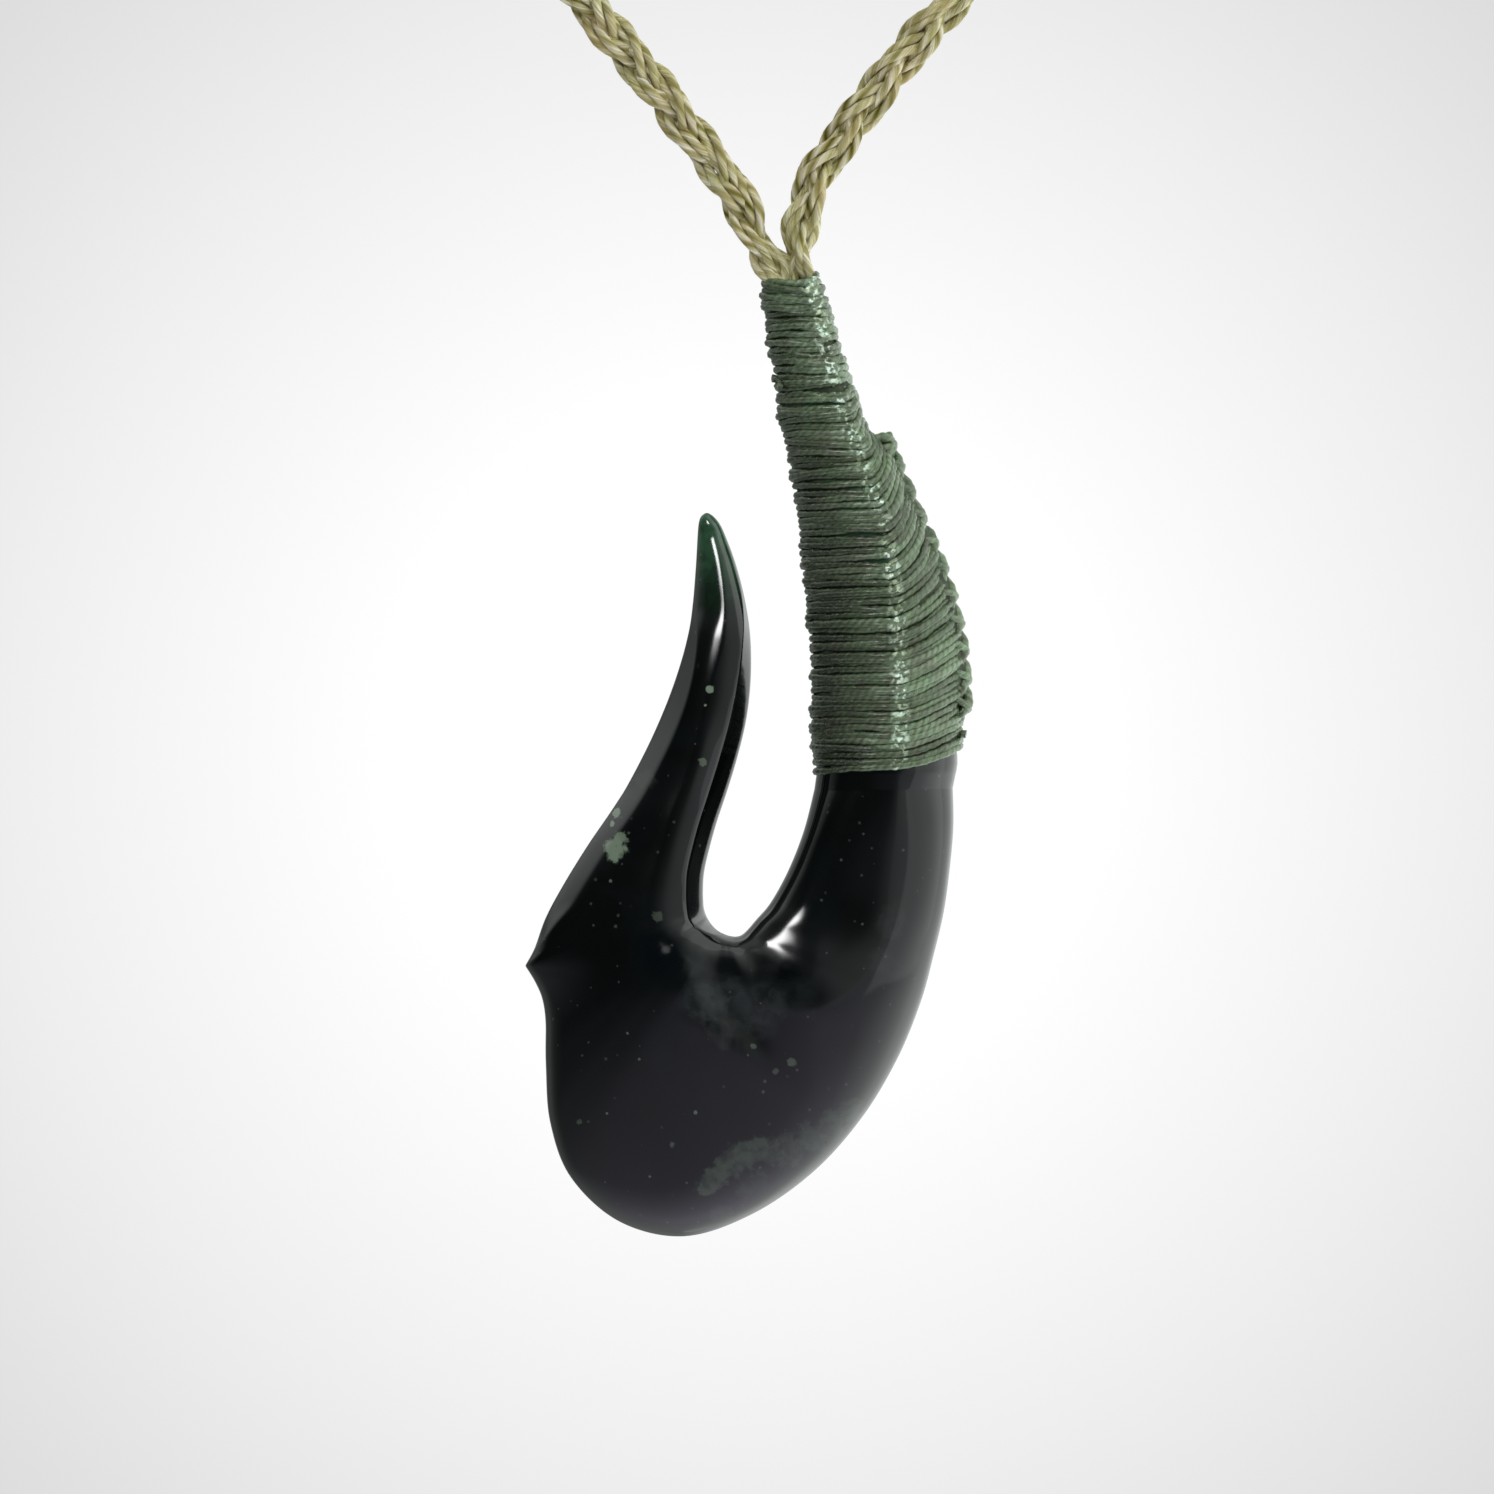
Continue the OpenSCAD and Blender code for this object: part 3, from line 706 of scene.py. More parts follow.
def headRing(row, angle, inset, thinner, z):
    # One ring of the hidden head, inside the binding's section
    x, y = sectionShape(angle, row[4] - row[1] - inset, row[2] - row[4] - inset, row[3] / 2 - thinner,
                        row[5], row[6])
    return np.stack([row[4] + x, y, np.full_like(x, z)], 1)


def barbOffset(s, place, share):
    # How far the barb pushes the outline out, falling off on both flanks; its crease fades inwards
    after = place - s["barbRow"]
    rimSoft, growth = s["creaseFade"]
    soft = rimSoft + growth * (1 - share)
    away = np.sqrt(after ** 2 + soft ** 2) - soft * 0.25
    above = smoothStep(-1, 1, after / soft)
    grow = np.maximum(0, 1 - away / s["barbRise"]) ** s["barbPowers"][0] * above \
        + np.maximum(0, 1 - away / s["barbFall"]) ** s["barbPowers"][1] * (1 - above)
    return s["barbReach"] * grow * smoothStep(*s["barbShare"], share)


def hollowDepth(s, x, z):
    # How deep the hollow beside the flare is; it begins lower towards the limb
    past = np.clip((x - readDown(s["flareLine"], z)) * s["flareLean"] / s["dipWidth"], 0, 1)
    level = z - s["dipTilt"][0] * np.minimum(x - s["dipTilt"][1], 0)
    return s["dip"] * past * (4 - past ** 3) / 3 * smoothStep(*s["dipTop"], level) \
        * smoothStep(*s["dipEnd"], z) * smoothStep(*s["dipRight"], x)


def makeStone(s):
    angle = np.arange(s["sides"]) * 2 * math.pi / s["sides"]
    head = [row for row in wrapRows if row[0] < s["headTop"]]
    top = [s["headTop"]] + head[0][1:]
    rings = []
    for inset in s["capInsets"]:
        rings.append(headRing(top, angle, inset, inset, top[0] - max(0, s["capInsets"][1] - inset) / 2))
    for row in splineRows(head, s["headSteps"]):
        high, low, easing = s["insetEase"]
        inset = s["headInset"] - easing * smoothStep(high, low, row[0])
        rings.append(headRing(row, angle, inset, inset * s["insetThick"], row[0]))
    for k, row in enumerate(splineRows(hookRows, s["steps"])):
        place = k / s["steps"]
        bite, rim = row[0:2], row[2:4]
        width = np.linalg.norm(rim - bite)
        along = (rim - bite) / width
        ridge = bite + (rim - bite) * row[5]
        full = riseAndFade(s["bevelRows"], place)
        inner = riseAndFade(s["innerRows"], place)
        fadeRow, fullRow, swell = s["bevelSwell"]
        bevel = s["bevelWidth"] * (1 + swell * smoothStep(fadeRow, fullRow, place))
        across, thick = sectionShape(angle, width * row[5], width * (1 - row[5]), row[4] / 2, row[6],
                                     row[7], row[8], bevel / (width * (1 - row[5])) * full,
                                     s["innerSlope"] * inner, s["innerWidth"] / (width * row[5]) * inner)
        share = (across + width * row[5]) / width
        x = ridge[0] + along[0] * across - barbOffset(s, place, share)
        z = ridge[1] + along[1] * across
        thick = thick - np.sign(thick) * hollowDepth(s, x, z) * smoothStep(*s["dipThick"], np.abs(thick))
        rings.append(np.stack([x, thick, z], 1))
    return ringMesh("jadeHook", toFrame(rings), jade)


jadeHook = makeStone(stoneSettings)
print("stone lofted:", len(jadeHook.data.polygons), "faces")


# Thread skin: a Geometry Nodes tree that turns path curves into twisted threads
def makeThreadTree():
    tree = bpy.data.node_groups.new("threadSkin", "GeometryNodeTree")
    for label, kind, value in (
            ("Geometry", "Geometry", None), ("Radius", "Float", 0.0002), ("Sides", "Int", 8),
            ("Plies", "Int", 2), ("Ply Depth", "Float", 0.08), ("Twist Length", "Float", 0.0013),
            ("Lumps", "Float", 0.1), ("Lump Scale", "Float", 900.0), ("Seed", "Int", 1),
            ("Material", "Material", None)):
        socket = tree.interface.new_socket(name=label, in_out="INPUT", socket_type="NodeSocket" + kind)
        if value is not None:
            socket.default_value = value
    tree.interface.new_socket(name="Geometry", in_out="OUTPUT", socket_type="NodeSocketGeometry")
    got = addNode(tree, "NodeGroupInput").outputs

    def store(geometry, label, value, kind="FLOAT"):
        return addNode(tree, "GeometryNodeStoreNamedAttribute", {
            "Geometry": geometry, "Name": label, "Value": value}, data_type=kind, domain="POINT").outputs[0]

    def named(label, kind="FLOAT"):
        node = addNode(tree, "GeometryNodeInputNamedAttribute", {"Name": label}, data_type=kind)
        return node.outputs["Attribute"]

    spline = addNode(tree, "GeometryNodeSplineParameter").outputs
    owner = addNode(tree, "GeometryNodeCurveOfPoint").outputs["Curve Index"]
    chance = addNode(tree, "FunctionNodeRandomValue", {"ID": owner, "Seed": got["Seed"]}, data_type="FLOAT")
    position = addNode(tree, "GeometryNodeInputPosition").outputs[0]
    path = store(got["Geometry"], "along", spline["Length"])
    path = store(path, "tone", chance.outputs[1])
    path = store(path, "centre", position, "FLOAT_VECTOR")
    circle = addNode(tree, "GeometryNodeCurvePrimitiveCircle", {
        "Resolution": got["Sides"], "Radius": got["Radius"]}).outputs["Curve"]
    roundAngle = times(tree, spline["Factor"], fullTurn)
    profile = store(circle, "aroundCos", mathNode(tree, "COSINE", roundAngle))
    profile = store(profile, "aroundSin", mathNode(tree, "SINE", roundAngle))
    skin = addNode(tree, "GeometryNodeCurveToMesh", {
        "Curve": path, "Profile Curve": profile, "Fill Caps": True}).outputs["Mesh"]
    # Swell and pinch each ring where the plies lie
    angle = mathNode(tree, "ARCTAN2", named("aroundSin"), named("aroundCos"))
    twist = mathNode(tree, "DIVIDE", named("along"), got["Twist Length"])
    twist = times(tree, twist, fullTurn)
    centre = named("centre", "FLOAT_VECTOR")
    uneven = addNode(tree, "ShaderNodeTexNoise", {
        "Vector": centre, "Scale": got["Lump Scale"], "Detail": 1.0}).outputs[0]
    uneven = mathNode(tree, "SUBTRACT", uneven, 0.5)
    twist = timesPlus(tree, named("tone"), fibreSettings["toneTurn"], twist)
    twist = timesPlus(tree, uneven, fibreSettings["lumpTurn"], twist)
    phase = times(tree, mathNode(tree, "ADD", angle, twist), got["Plies"])
    wave = mathNode(tree, "COSINE", phase)
    swell = mathNode(tree, "ADD", timesPlus(tree, wave, got["Ply Depth"], 1.0),
                     times(tree, uneven, got["Lumps"]))
    spoke = vectorNode(tree, "SUBTRACT", position, centre)[0]
    scaled = addNode(tree, "ShaderNodeVectorMath", {0: spoke, "Scale": swell}, operation="SCALE").outputs[0]
    shape = addNode(tree, "GeometryNodeSetPosition", {
        "Geometry": skin, "Position": vectorNode(tree, "ADD", centre, scaled)[0]}).outputs[0]
    for kind in ("GeometryNodeSetShadeSmooth", "GeometryNodeRealizeInstances"):
        shape = addNode(tree, kind, {"Geometry": shape}).outputs[0]
    paint = addNode(tree, "GeometryNodeSetMaterial", {"Geometry": shape, "Material": got["Material"]})
    addNode(tree, "NodeGroupOutput", {"Geometry": paint.outputs[0]})
    return tree


threadTree = makeThreadTree()


def threadPiece(name, paths, look, material):
    # paths: lists of points in metres; look: the tree's inputs by name
    curve = bpy.data.curves.new(name + "Path", "CURVE")
    curve.dimensions = "3D"
    for path in paths:
        spline = curve.splines.new("POLY")
        spline.points.add(len(path) - 1)
        spline.points.foreach_set("co", np.hstack([path, np.ones((len(path), 1))]).ravel())
    maker = placeObject(name + "Path", curve)
    modifier = maker.modifiers.new("threadSkin", "NODES")
    modifier.node_group = threadTree
    values = {**look, "Material": material}
    for item in threadTree.interface.items_tree:
        if item.item_type == "SOCKET" and item.in_out == "INPUT" and item.name in values:
            modifier[item.identifier] = values[item.name]
    shown = maker.evaluated_get(bpy.context.evaluated_depsgraph_get())
    mesh = bpy.data.meshes.new_from_object(shown)
    maker.modifiers.remove(modifier)
    bpy.data.objects.remove(maker)
    bpy.data.curves.remove(curve)
    mesh.name = name
    mesh.attributes.remove(mesh.attributes["centre"])
    piece = placeObject(name, mesh)
    pointOutwards(piece)
    print(name, "threads:", len(paths), "faces:", len(mesh.polygons))
    return piece


# Binding: close turns of waxed thread over a core painted dark as the shade between them
bindingSettings = {
    "threadRadius": 0.262,
    "pitch": 0.445,
    "perTurn": 84,             # points in one turn
    "depth": 33.9,             # the whole winding's height, mm
    "wander": [(0.55, 42), (0.8, 14), (0.5, 5)],   # strength, points between two random values
    "wobble": 0.135,           # how far turns wander up and down, mm
    "swell": [(1.0, 28), (0.5, 6)],
    "proud": 0.07,             # and in and out
    "neck": (-13, -7, 0.6),    # between these levels it grows less even, by this share
    "levels": (-34.5, 0.5),    # no turn wanders past these
    "sink": 0.02,
    "seed": 11,
    "strays": 54,              # turns that cross over the others
    "strayStart": (-0.8, -31.5, 1.25),     # level of the first, depth of the last, crowding towards the top
    "strayDrop": (1.3, 0.7, -14),          # mm dropped above and below this level
    "strayTurns": (0.25, 0.7),
    "strayLevels": (-33.6, -0.1),
    "strayOver": (0.30, -0.12),            # how far it rides over the turns between its ends, and at them
    "cutEnds": [(-0.7, -7.35, -0.5, 0.3, -1.2), (-0.6, -7.6, -0.35, -0.1, -1.3),
                (11.2, -31.3, 0.75, 0.12, -0.6)],  # x, z, and the run in x and z, and y
    "cutDroop": (0.15, 0.1),   # how a cut end leans forwards and bows
    # level, how far the turns rise towards the keel, mm
    "lift": [(0.0, 0.5), (-2.5, 0.2), (-7.5, 0.35), (-11.0, 1.2), (-14.0, 2.7), (-20.0, 3.1),
             (-26.0, 2.4), (-30.0, 1.7), (-34.0, 1.3)],
    "liftPower": 1.75,
    # level, how far the turns reach past the plain outline to the hitched edge, mm
    "widen": [(-10.4, 0.0), (-11.6, 0.85), (-13.0, 1.2), (-20.0, 1.25), (-27.0, 1.05), (-29.6, 0.7),
              (-31.0, 0.15), (-34.0, 0.0)],
    "coreSides": 64,
    "coreRings": 110,
    "coreLevels": (-0.45, -33.5),
    "coreInset": 0.30,
    "coreCap": [(1.3, -0.35), (0.75, -0.3)],       # inset and level of the rings that close its top
    "fin": 0.5,                # how far the core's keel reaches into the hitched edge, mm
    "finTop": (-13.6, -15.2),  # where it begins and is full, from above and from below
    "finEnd": (-30.6, -29.2),
    "finPower": 14,
    # painted shade: the core shows only between the turns, so it is coloured as the shade there
    "coreShadeColours": [(0.035, 0.045, 0.027, 1), (0.075, 0.095, 0.058, 1)],
    "look": {"Radius": 0.000262, "Sides": 8, "Plies": 2, "Ply Depth": 0.07, "Twist Length": 1.3 * mm,
             "Lumps": 0.8, "Lump Scale": 1500.0, "Seed": 3},
}
wrapDense = splineRows(wrapRows, 8)


def wrapAt(z):
    # The binding's section row at a level, for many levels at once
    order = wrapDense[::-1]
    return np.stack([np.interp(z, order[:, 0], order[:, c]) for c in range(order.shape[1])], 1)


def onBinding(angle, z, inset):
    row = wrapAt(z)
    x, y = sectionShape(angle, row[:, 4] - row[:, 1] - inset,
                        row[:, 2] - row[:, 4] - inset + readDown(bindingSettings["widen"], z),
                        row[:, 3] / 2 - inset, row[:, 5], row[:, 6])
    return np.stack([row[:, 4] + x, -y, z], 1)


def bindingRise(angle, z):
    # How far a turn has climbed towards the keel
    climb = np.maximum(np.cos(angle), 0) ** bindingSettings["liftPower"]
    return readDown(bindingSettings["lift"], z) * climb


def slowNoise(rng, count, every):
    # Smooth random values between about -1 and 1
    knots = rng.uniform(-1, 1, count // every + 3)
    return np.interp(np.arange(count) / every, np.arange(len(knots)), knots)


def layeredNoise(rng, count, layers):
    return sum(strength * slowNoise(rng, count, every) for strength, every in layers)


def woundTurns(s, rng):
    # One path a turn, so that each turn has a tone of its own
    per = s["perTurn"]
    count = int((s["depth"] - 2 * s["threadRadius"]) / s["pitch"] * per)
    theta = np.arange(count) * 2 * math.pi / per + math.pi * 1.5       # begins at the back
    base = -s["threadRadius"] - s["pitch"] * np.arange(count) / per
    low, high, looser = s["neck"]
    loose = 1 + looser * smoothStep(low, high, base)
    wander = layeredNoise(rng, count, s["wander"]) * s["wobble"] * loose
    level = np.clip(base + bindingRise(theta, base) + wander, *s["levels"])
    proud = layeredNoise(rng, count, s["swell"]) * s["proud"] * loose
    spiral = onBinding(theta, np.minimum(level, 0), s["threadRadius"] - s["sink"] - proud)
    spiral[:, 2] = level
    return [spiral[k:k + per + 1] for k in range(0, count - 2, per)]


def strayTurns(s, rng):
    # Turns that cross over the others, most of them in the upper half
    paths = []
    top, deep, crowd = s["strayStart"]
    steep, gentle, border = s["strayDrop"]
    for stray in range(s["strays"]):
        start = top + deep * ((stray + rng.uniform(0, 1)) / s["strays"]) ** crowd
        drop = rng.uniform(-1, 1) * (steep if start > border else gentle)
        turnCount = rng.uniform(*s["strayTurns"])
        n = int(s["perTurn"] * turnCount)
        t = np.arange(n) / n
        angle = rng.uniform(0, fullTurn) + t * turnCount * 2 * math.pi
        z = start - drop * t + bindingRise(angle, np.full(n, start))
        over = s["strayOver"][0] * np.minimum(1, 5 * np.minimum(t, 1 - t)) + s["strayOver"][1]
        paths.append(onBinding(angle, np.clip(z, *s["strayLevels"]), s["threadRadius"] - over))
    return paths


def makeWinding(s):
    rng = np.random.default_rng(s["seed"])
    paths = woundTurns(s, rng) + strayTurns(s, rng)
    lean, bow = s["cutDroop"]
    t = np.linspace(0, 1, 7)
    for x, z, dx, dz, y in s["cutEnds"]:
        paths.append(np.stack([x + dx * t, y - lean * t, z + dz * t + bow * np.sin(t * 3)], 1))
    return threadPiece("bindingWinding", [toFrame(p) for p in paths], s["look"], bindingThread)


def makeCoreMaterial(colours):
    material, tree, shader = newMaterial("threadShadow", {"Roughness": 0.8, "IOR": 1.4})
    mask = mottle(tree, objectPlace(tree), {"Scale": 900.0})
    tree.links.new(mixColour(tree, mask, *colours), shader.inputs["Base Color"])
    return material


def makeCore(s):
    angle = np.arange(s["coreSides"]) * 2 * math.pi / s["coreSides"]
    high, low = s["coreLevels"]
    rings = []
    for inset, z in s["coreCap"]:
        rings.append(onBinding(angle, np.full(s["coreSides"], z), s["coreInset"] + inset))
    for z in np.linspace(high, low, s["coreRings"]):
        fin = s["fin"] * smoothStep(*s["finTop"], z) * smoothStep(*s["finEnd"], z) \
            * np.maximum(np.cos(angle), 0) ** s["finPower"]
        rings.append(onBinding(angle, np.minimum(z + bindingRise(angle, z), high), s["coreInset"] - fin))
    return ringMesh("bindingCore", toFrame(rings), makeCoreMaterial(s["coreShadeColours"]))


bindingWinding = makeWinding(bindingSettings)
bindingCore = makeCore(bindingSettings)


# Hitched edge: two threads twisted along the keel, each hitch looped back over the binding
hitchSettings = {
    "path": [(6.35, -10.9), (7.2, -13.1), (7.95, -14.9), (8.75, -16.7), (9.95, -19.4),
             (10.9, -22.3), (11.35, -24.5), (11.65, -26.6), (11.75, -28.7), (11.5, -29.8), (10.9, -30.5)],
    "hitches": 11,
    "ropePoints": 360,
    "ropeRadius": 0.34,
    "tiePoints": 44,
    "slant": (0.95, 0.3),      # mm that a tie leans along the edge, and its random share
    "grip": (2.1, 1.6, 0.25),  # mm that its ends reach over the binding, the bend's power, its random share
    "reach": (0.44, 0.05),     # mm outside the rope's middle; every other tie passes inside it
    "loopDepth": 0.95,
    "loopPower": 2.4,
    "loopShares": (1.0, 0.8),  # shares of that depth, for the outer and the inner ties
    "knot": [(0.15, 0.62, 0.75), (0.55, 0.78, 0.95), (1.0, 0.70, 0.90)],   # place along, width, depth
    "knotPoints": 40,
    "knotSlant": 0.3,
    "knotInset": 0.3,
    "seed": 21,
    "ropeLook": {"Radius": 0.00036, "Sides": 12, "Plies": 2, "Ply Depth": 0.06, "Twist Length": 1.5 * mm,
                 "Lumps": 0.6, "Lump Scale": 1200.0, "Seed": 5},
    "tieLook": {"Radius": 0.00028, "Sides": 10, "Plies": 2, "Ply Depth": 0.05, "Twist Length": 1.2 * mm,
                "Lumps": 0.6, "Lump Scale": 1200.0, "Seed": 6},
}


def unit(v):
    return v / np.linalg.norm(v, axis=1)[:, None]


def makeHitching(s):
    rng = np.random.default_rng(s["seed"])
    middle = splineRows(s["path"], 20)
    far = distanceAlong(middle)
    total = far[-1]

    def at(d):
        x, z = (np.interp(d, far, middle[:, c]) for c in range(2))
        return np.stack([x, np.zeros_like(d), z], 1)

    d = np.linspace(0, total, s["ropePoints"])
    centre = at(d)
    along = unit(np.gradient(centre, axis=0))
    across = np.stack([-along[:, 2], np.zeros(len(d)), along[:, 0]], 1)
    lift = np.array([0, -1.0, 0])
    rope, ties = [], []
    for k in range(2):
        turn = math.pi * d / total * s["hitches"] + k * math.pi
        spoke = np.cos(turn)[:, None] * across + np.sin(turn)[:, None] * lift
        rope.append(centre + s["ropeRadius"] * spoke)
    slant, slantSpread = s["slant"]
    grip, gripPower, gripSpread = s["grip"]
    t = np.linspace(-1, 1, s["tiePoints"])
    for i in range(s["hitches"] * 2):
        mid = total * (i + 0.5) / s["hitches"] / 2
        side = np.array([np.interp(mid, d, across[:, 0]), 0, np.interp(mid, d, across[:, 2])])
        side = side if side[0] > 0 else -side
        here = at(np.full(len(t), mid) - slant * t * (1 + slantSpread * rng.uniform(-1, 1)))
        held = grip * np.abs(t) ** gripPower * (1 + gripSpread * rng.uniform(-1, 1))
        loop = here + np.outer(s["reach"][i % 2] - held, side)
        bend = 1 - (1 - np.abs(t)) ** s["loopPower"]
        loop[:, 1] -= np.sign(t) * s["loopDepth"] * bend * s["loopShares"][i % 2]
        ties.append(loop)
    # The knot where the hitching begins
    t = np.linspace(0, fullTurn, s["knotPoints"])
    side = -across[0] if across[0][0] < 0 else across[0]
    for k, (down, wide, deep) in enumerate(s["knot"]):
        knot = at(down + s["knotSlant"] * np.cos(t + k)) + np.outer(wide * np.cos(t) - s["knotInset"], side)
        knot[:, 1] += deep * np.sin(t)
        ties.append(knot)
    return (threadPiece("edgeHitchRope", [toFrame(p) for p in rope], s["ropeLook"], bindingThread),
            threadPiece("edgeHitchTies", [toFrame(p) for p in ties], s["tieLook"], bindingThread))


edgeHitchRope, edgeHitchTies = makeHitching(hitchSettings)


# Plait: three strands, each of three twisted yarns, round the whole worn loop
plaitSettings = {
    # The legs' points lie about the pendant's zero, the rest about the nape, mm
    "leftLeg": [(0.5, 0, -5.5), (-0.1, 0, -3.3), (-0.7, 0, 0), (-1.5, 0, 1.1), (-2.3, 0, 2.5),
                (-3.0, 0, 4.1), (-4.3, 0, 6.5), (-6.2, 0, 9.0), (-9.9, 0, 13.8), (-14.0, 0, 18.8)],
    "rightLeg": [(11.1, 0, 18.8), (6.8, 0, 13.8), (3.3, 0, 9.0), (1.6, 0, 6.5), (0.85, 0, 4.1),
                 (0.65, 0, 2.5), (0.62, 0, 1.1), (0.7, 0, 0), (1.3, 0, -3.3), (1.9, 0, -5.5)],
    "halfLoop": [(22, -2.5, -1.5), (40.5, -11, -6.5), (54.5, -22, -14.5), (64.5, -35, -25.5),
                 (69.5, -49.5, -39), (70.5, -64, -55), (67.5, -77, -72.5), (61.5, -88, -91.5),
                 (53, -97, -111), (42.5, -104, -130), (31, -108.5, -147), (20, -111, -161.5)],
    "nape": (0, 1.5, 0.5),
    "neckMiddle": (0, -58, 0),
    "period": 12.9,
    "swing": 0.77,
    "lift": 0.58,
    "squeeze": 0.86,           # the plait's size inside the binding
    "endTurn": 0.85,           # how far it is turned there
    "flare": 8.0,              # mm over which it opens
    "inside": 5.6,             # mm of each end that lie inside
    "looseness": (0.05, 30),   # random shares, and points from one random value to the next
    "spinSpread": (0.35, 24),
    "reachSpread": (0.12, 18),
    "yarns": 3,
    "yarnAcross": 0.38,
    "yarnThick": 0.26,
    "yarnTwist": 8.5,
    "yarnClose": 0.35,         # share of a yarn's reach that the squeeze leaves alone
    "strandShift": 0.21,       # turns from one strand's yarns to the next strand's
    "step": 0.42,
    "seed": 4,
    "look": {"Radius": 0.000305, "Sides": 10, "Plies": 2, "Ply Depth": 0.06, "Twist Length": 3.2 * mm,
             "Lumps": 0.25, "Lump Scale": 500.0, "Seed": 9},
}


def makePlait(s):
    zero = pendantZero / mm
    half = np.array(s["halfLoop"], float)
    mirrored = half[::-1] * np.array([-1, 1, 1])
    left, right = (zero + np.array(s[leg]) for leg in ("leftLeg", "rightLeg"))
    route = splineRows(np.vstack([left, mirrored, [s["nape"]], half, right]), 6)
    far = distanceAlong(route)
    length = far[-1]
    d = np.arange(0, length, s["step"])

    def middle(v):
        return np.stack([np.interp(v, far, route[:, c]) for c in range(3)], 1)

    def spread(key):
        share, every = s[key]
        return share * slowNoise(rng, len(d), every)

    centre = middle(d)
    along = unit(middle(np.minimum(d + 1, length)) - middle(np.maximum(d - 1, 0)))
    out = centre - np.array(s["neckMiddle"])
    out[:, 2] = 0
    away = unit(out - along * np.sum(along * out, 1)[:, None])
    side = np.cross(along, away)
    opened = smoothStep(0, s["flare"], np.minimum(d, length - d) - s["inside"])
    turn = (s["endTurn"] * (1 - opened))[:, None]
    flatOut = away * np.cos(turn) + side * np.sin(turn)
    flatSide = side * np.cos(turn) - away * np.sin(turn)
    size = s["squeeze"] + (1 - s["squeeze"]) * opened
    rng = np.random.default_rng(s["seed"])
    strands = []
    for strand in range(3):
        phase = 2 * math.pi * (d / s["period"] + strand / 3)
        loose = 1 + spread("looseness")
        mid = centre + (size * loose * s["swing"] * np.sin(phase))[:, None] * flatSide \
            + (size * s["lift"] * np.sin(2 * phase))[:, None] * flatOut
        ahead = unit(np.gradient(mid, axis=0))
        u = unit(flatOut - ahead * np.sum(ahead * flatOut, 1)[:, None])
        v = np.cross(ahead, u)
        paths = []
        for yarn in range(s["yarns"]):
            turns = d / s["yarnTwist"] + yarn / s["yarns"] + strand * s["strandShift"]
            spin = 2 * math.pi * turns + spread("spinSpread")
            reach = (s["yarnClose"] + (1 - s["yarnClose"]) * size) * (1 + spread("reachSpread"))
            path = mid + (s["yarnThick"] * reach * np.cos(spin))[:, None] * u \
                + (s["yarnAcross"] * reach * np.sin(spin))[:, None] * v
            paths.append(path * mm)
        strands.append(threadPiece("plaitStrand" + "ABC"[strand], paths, s["look"], cordYarn))
    print("plait length, mm:", round(float(length), 1))
    return strands


plaitStrands = makePlait(plaitSettings)


# Every piece rides on the one body, and all but two stand for a node
for piece, slotName, node in (
        (jadeHook, "jade", "stone_hook"),
        (bindingWinding, "binding_thread", "binding"), (bindingCore, "binding_thread", None),
        (edgeHitchRope, "binding_thread", "edge_hitching"), (edgeHitchTies, "binding_thread", None),
        (plaitStrands[0], "cord_yarn", "plait_strand_a"), (plaitStrands[1], "cord_yarn", "plait_strand_b"),
        (plaitStrands[2], "cord_yarn", "plait_strand_c")):
    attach(piece, "root")
    if node:
        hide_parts(node)
print("pieces placed")


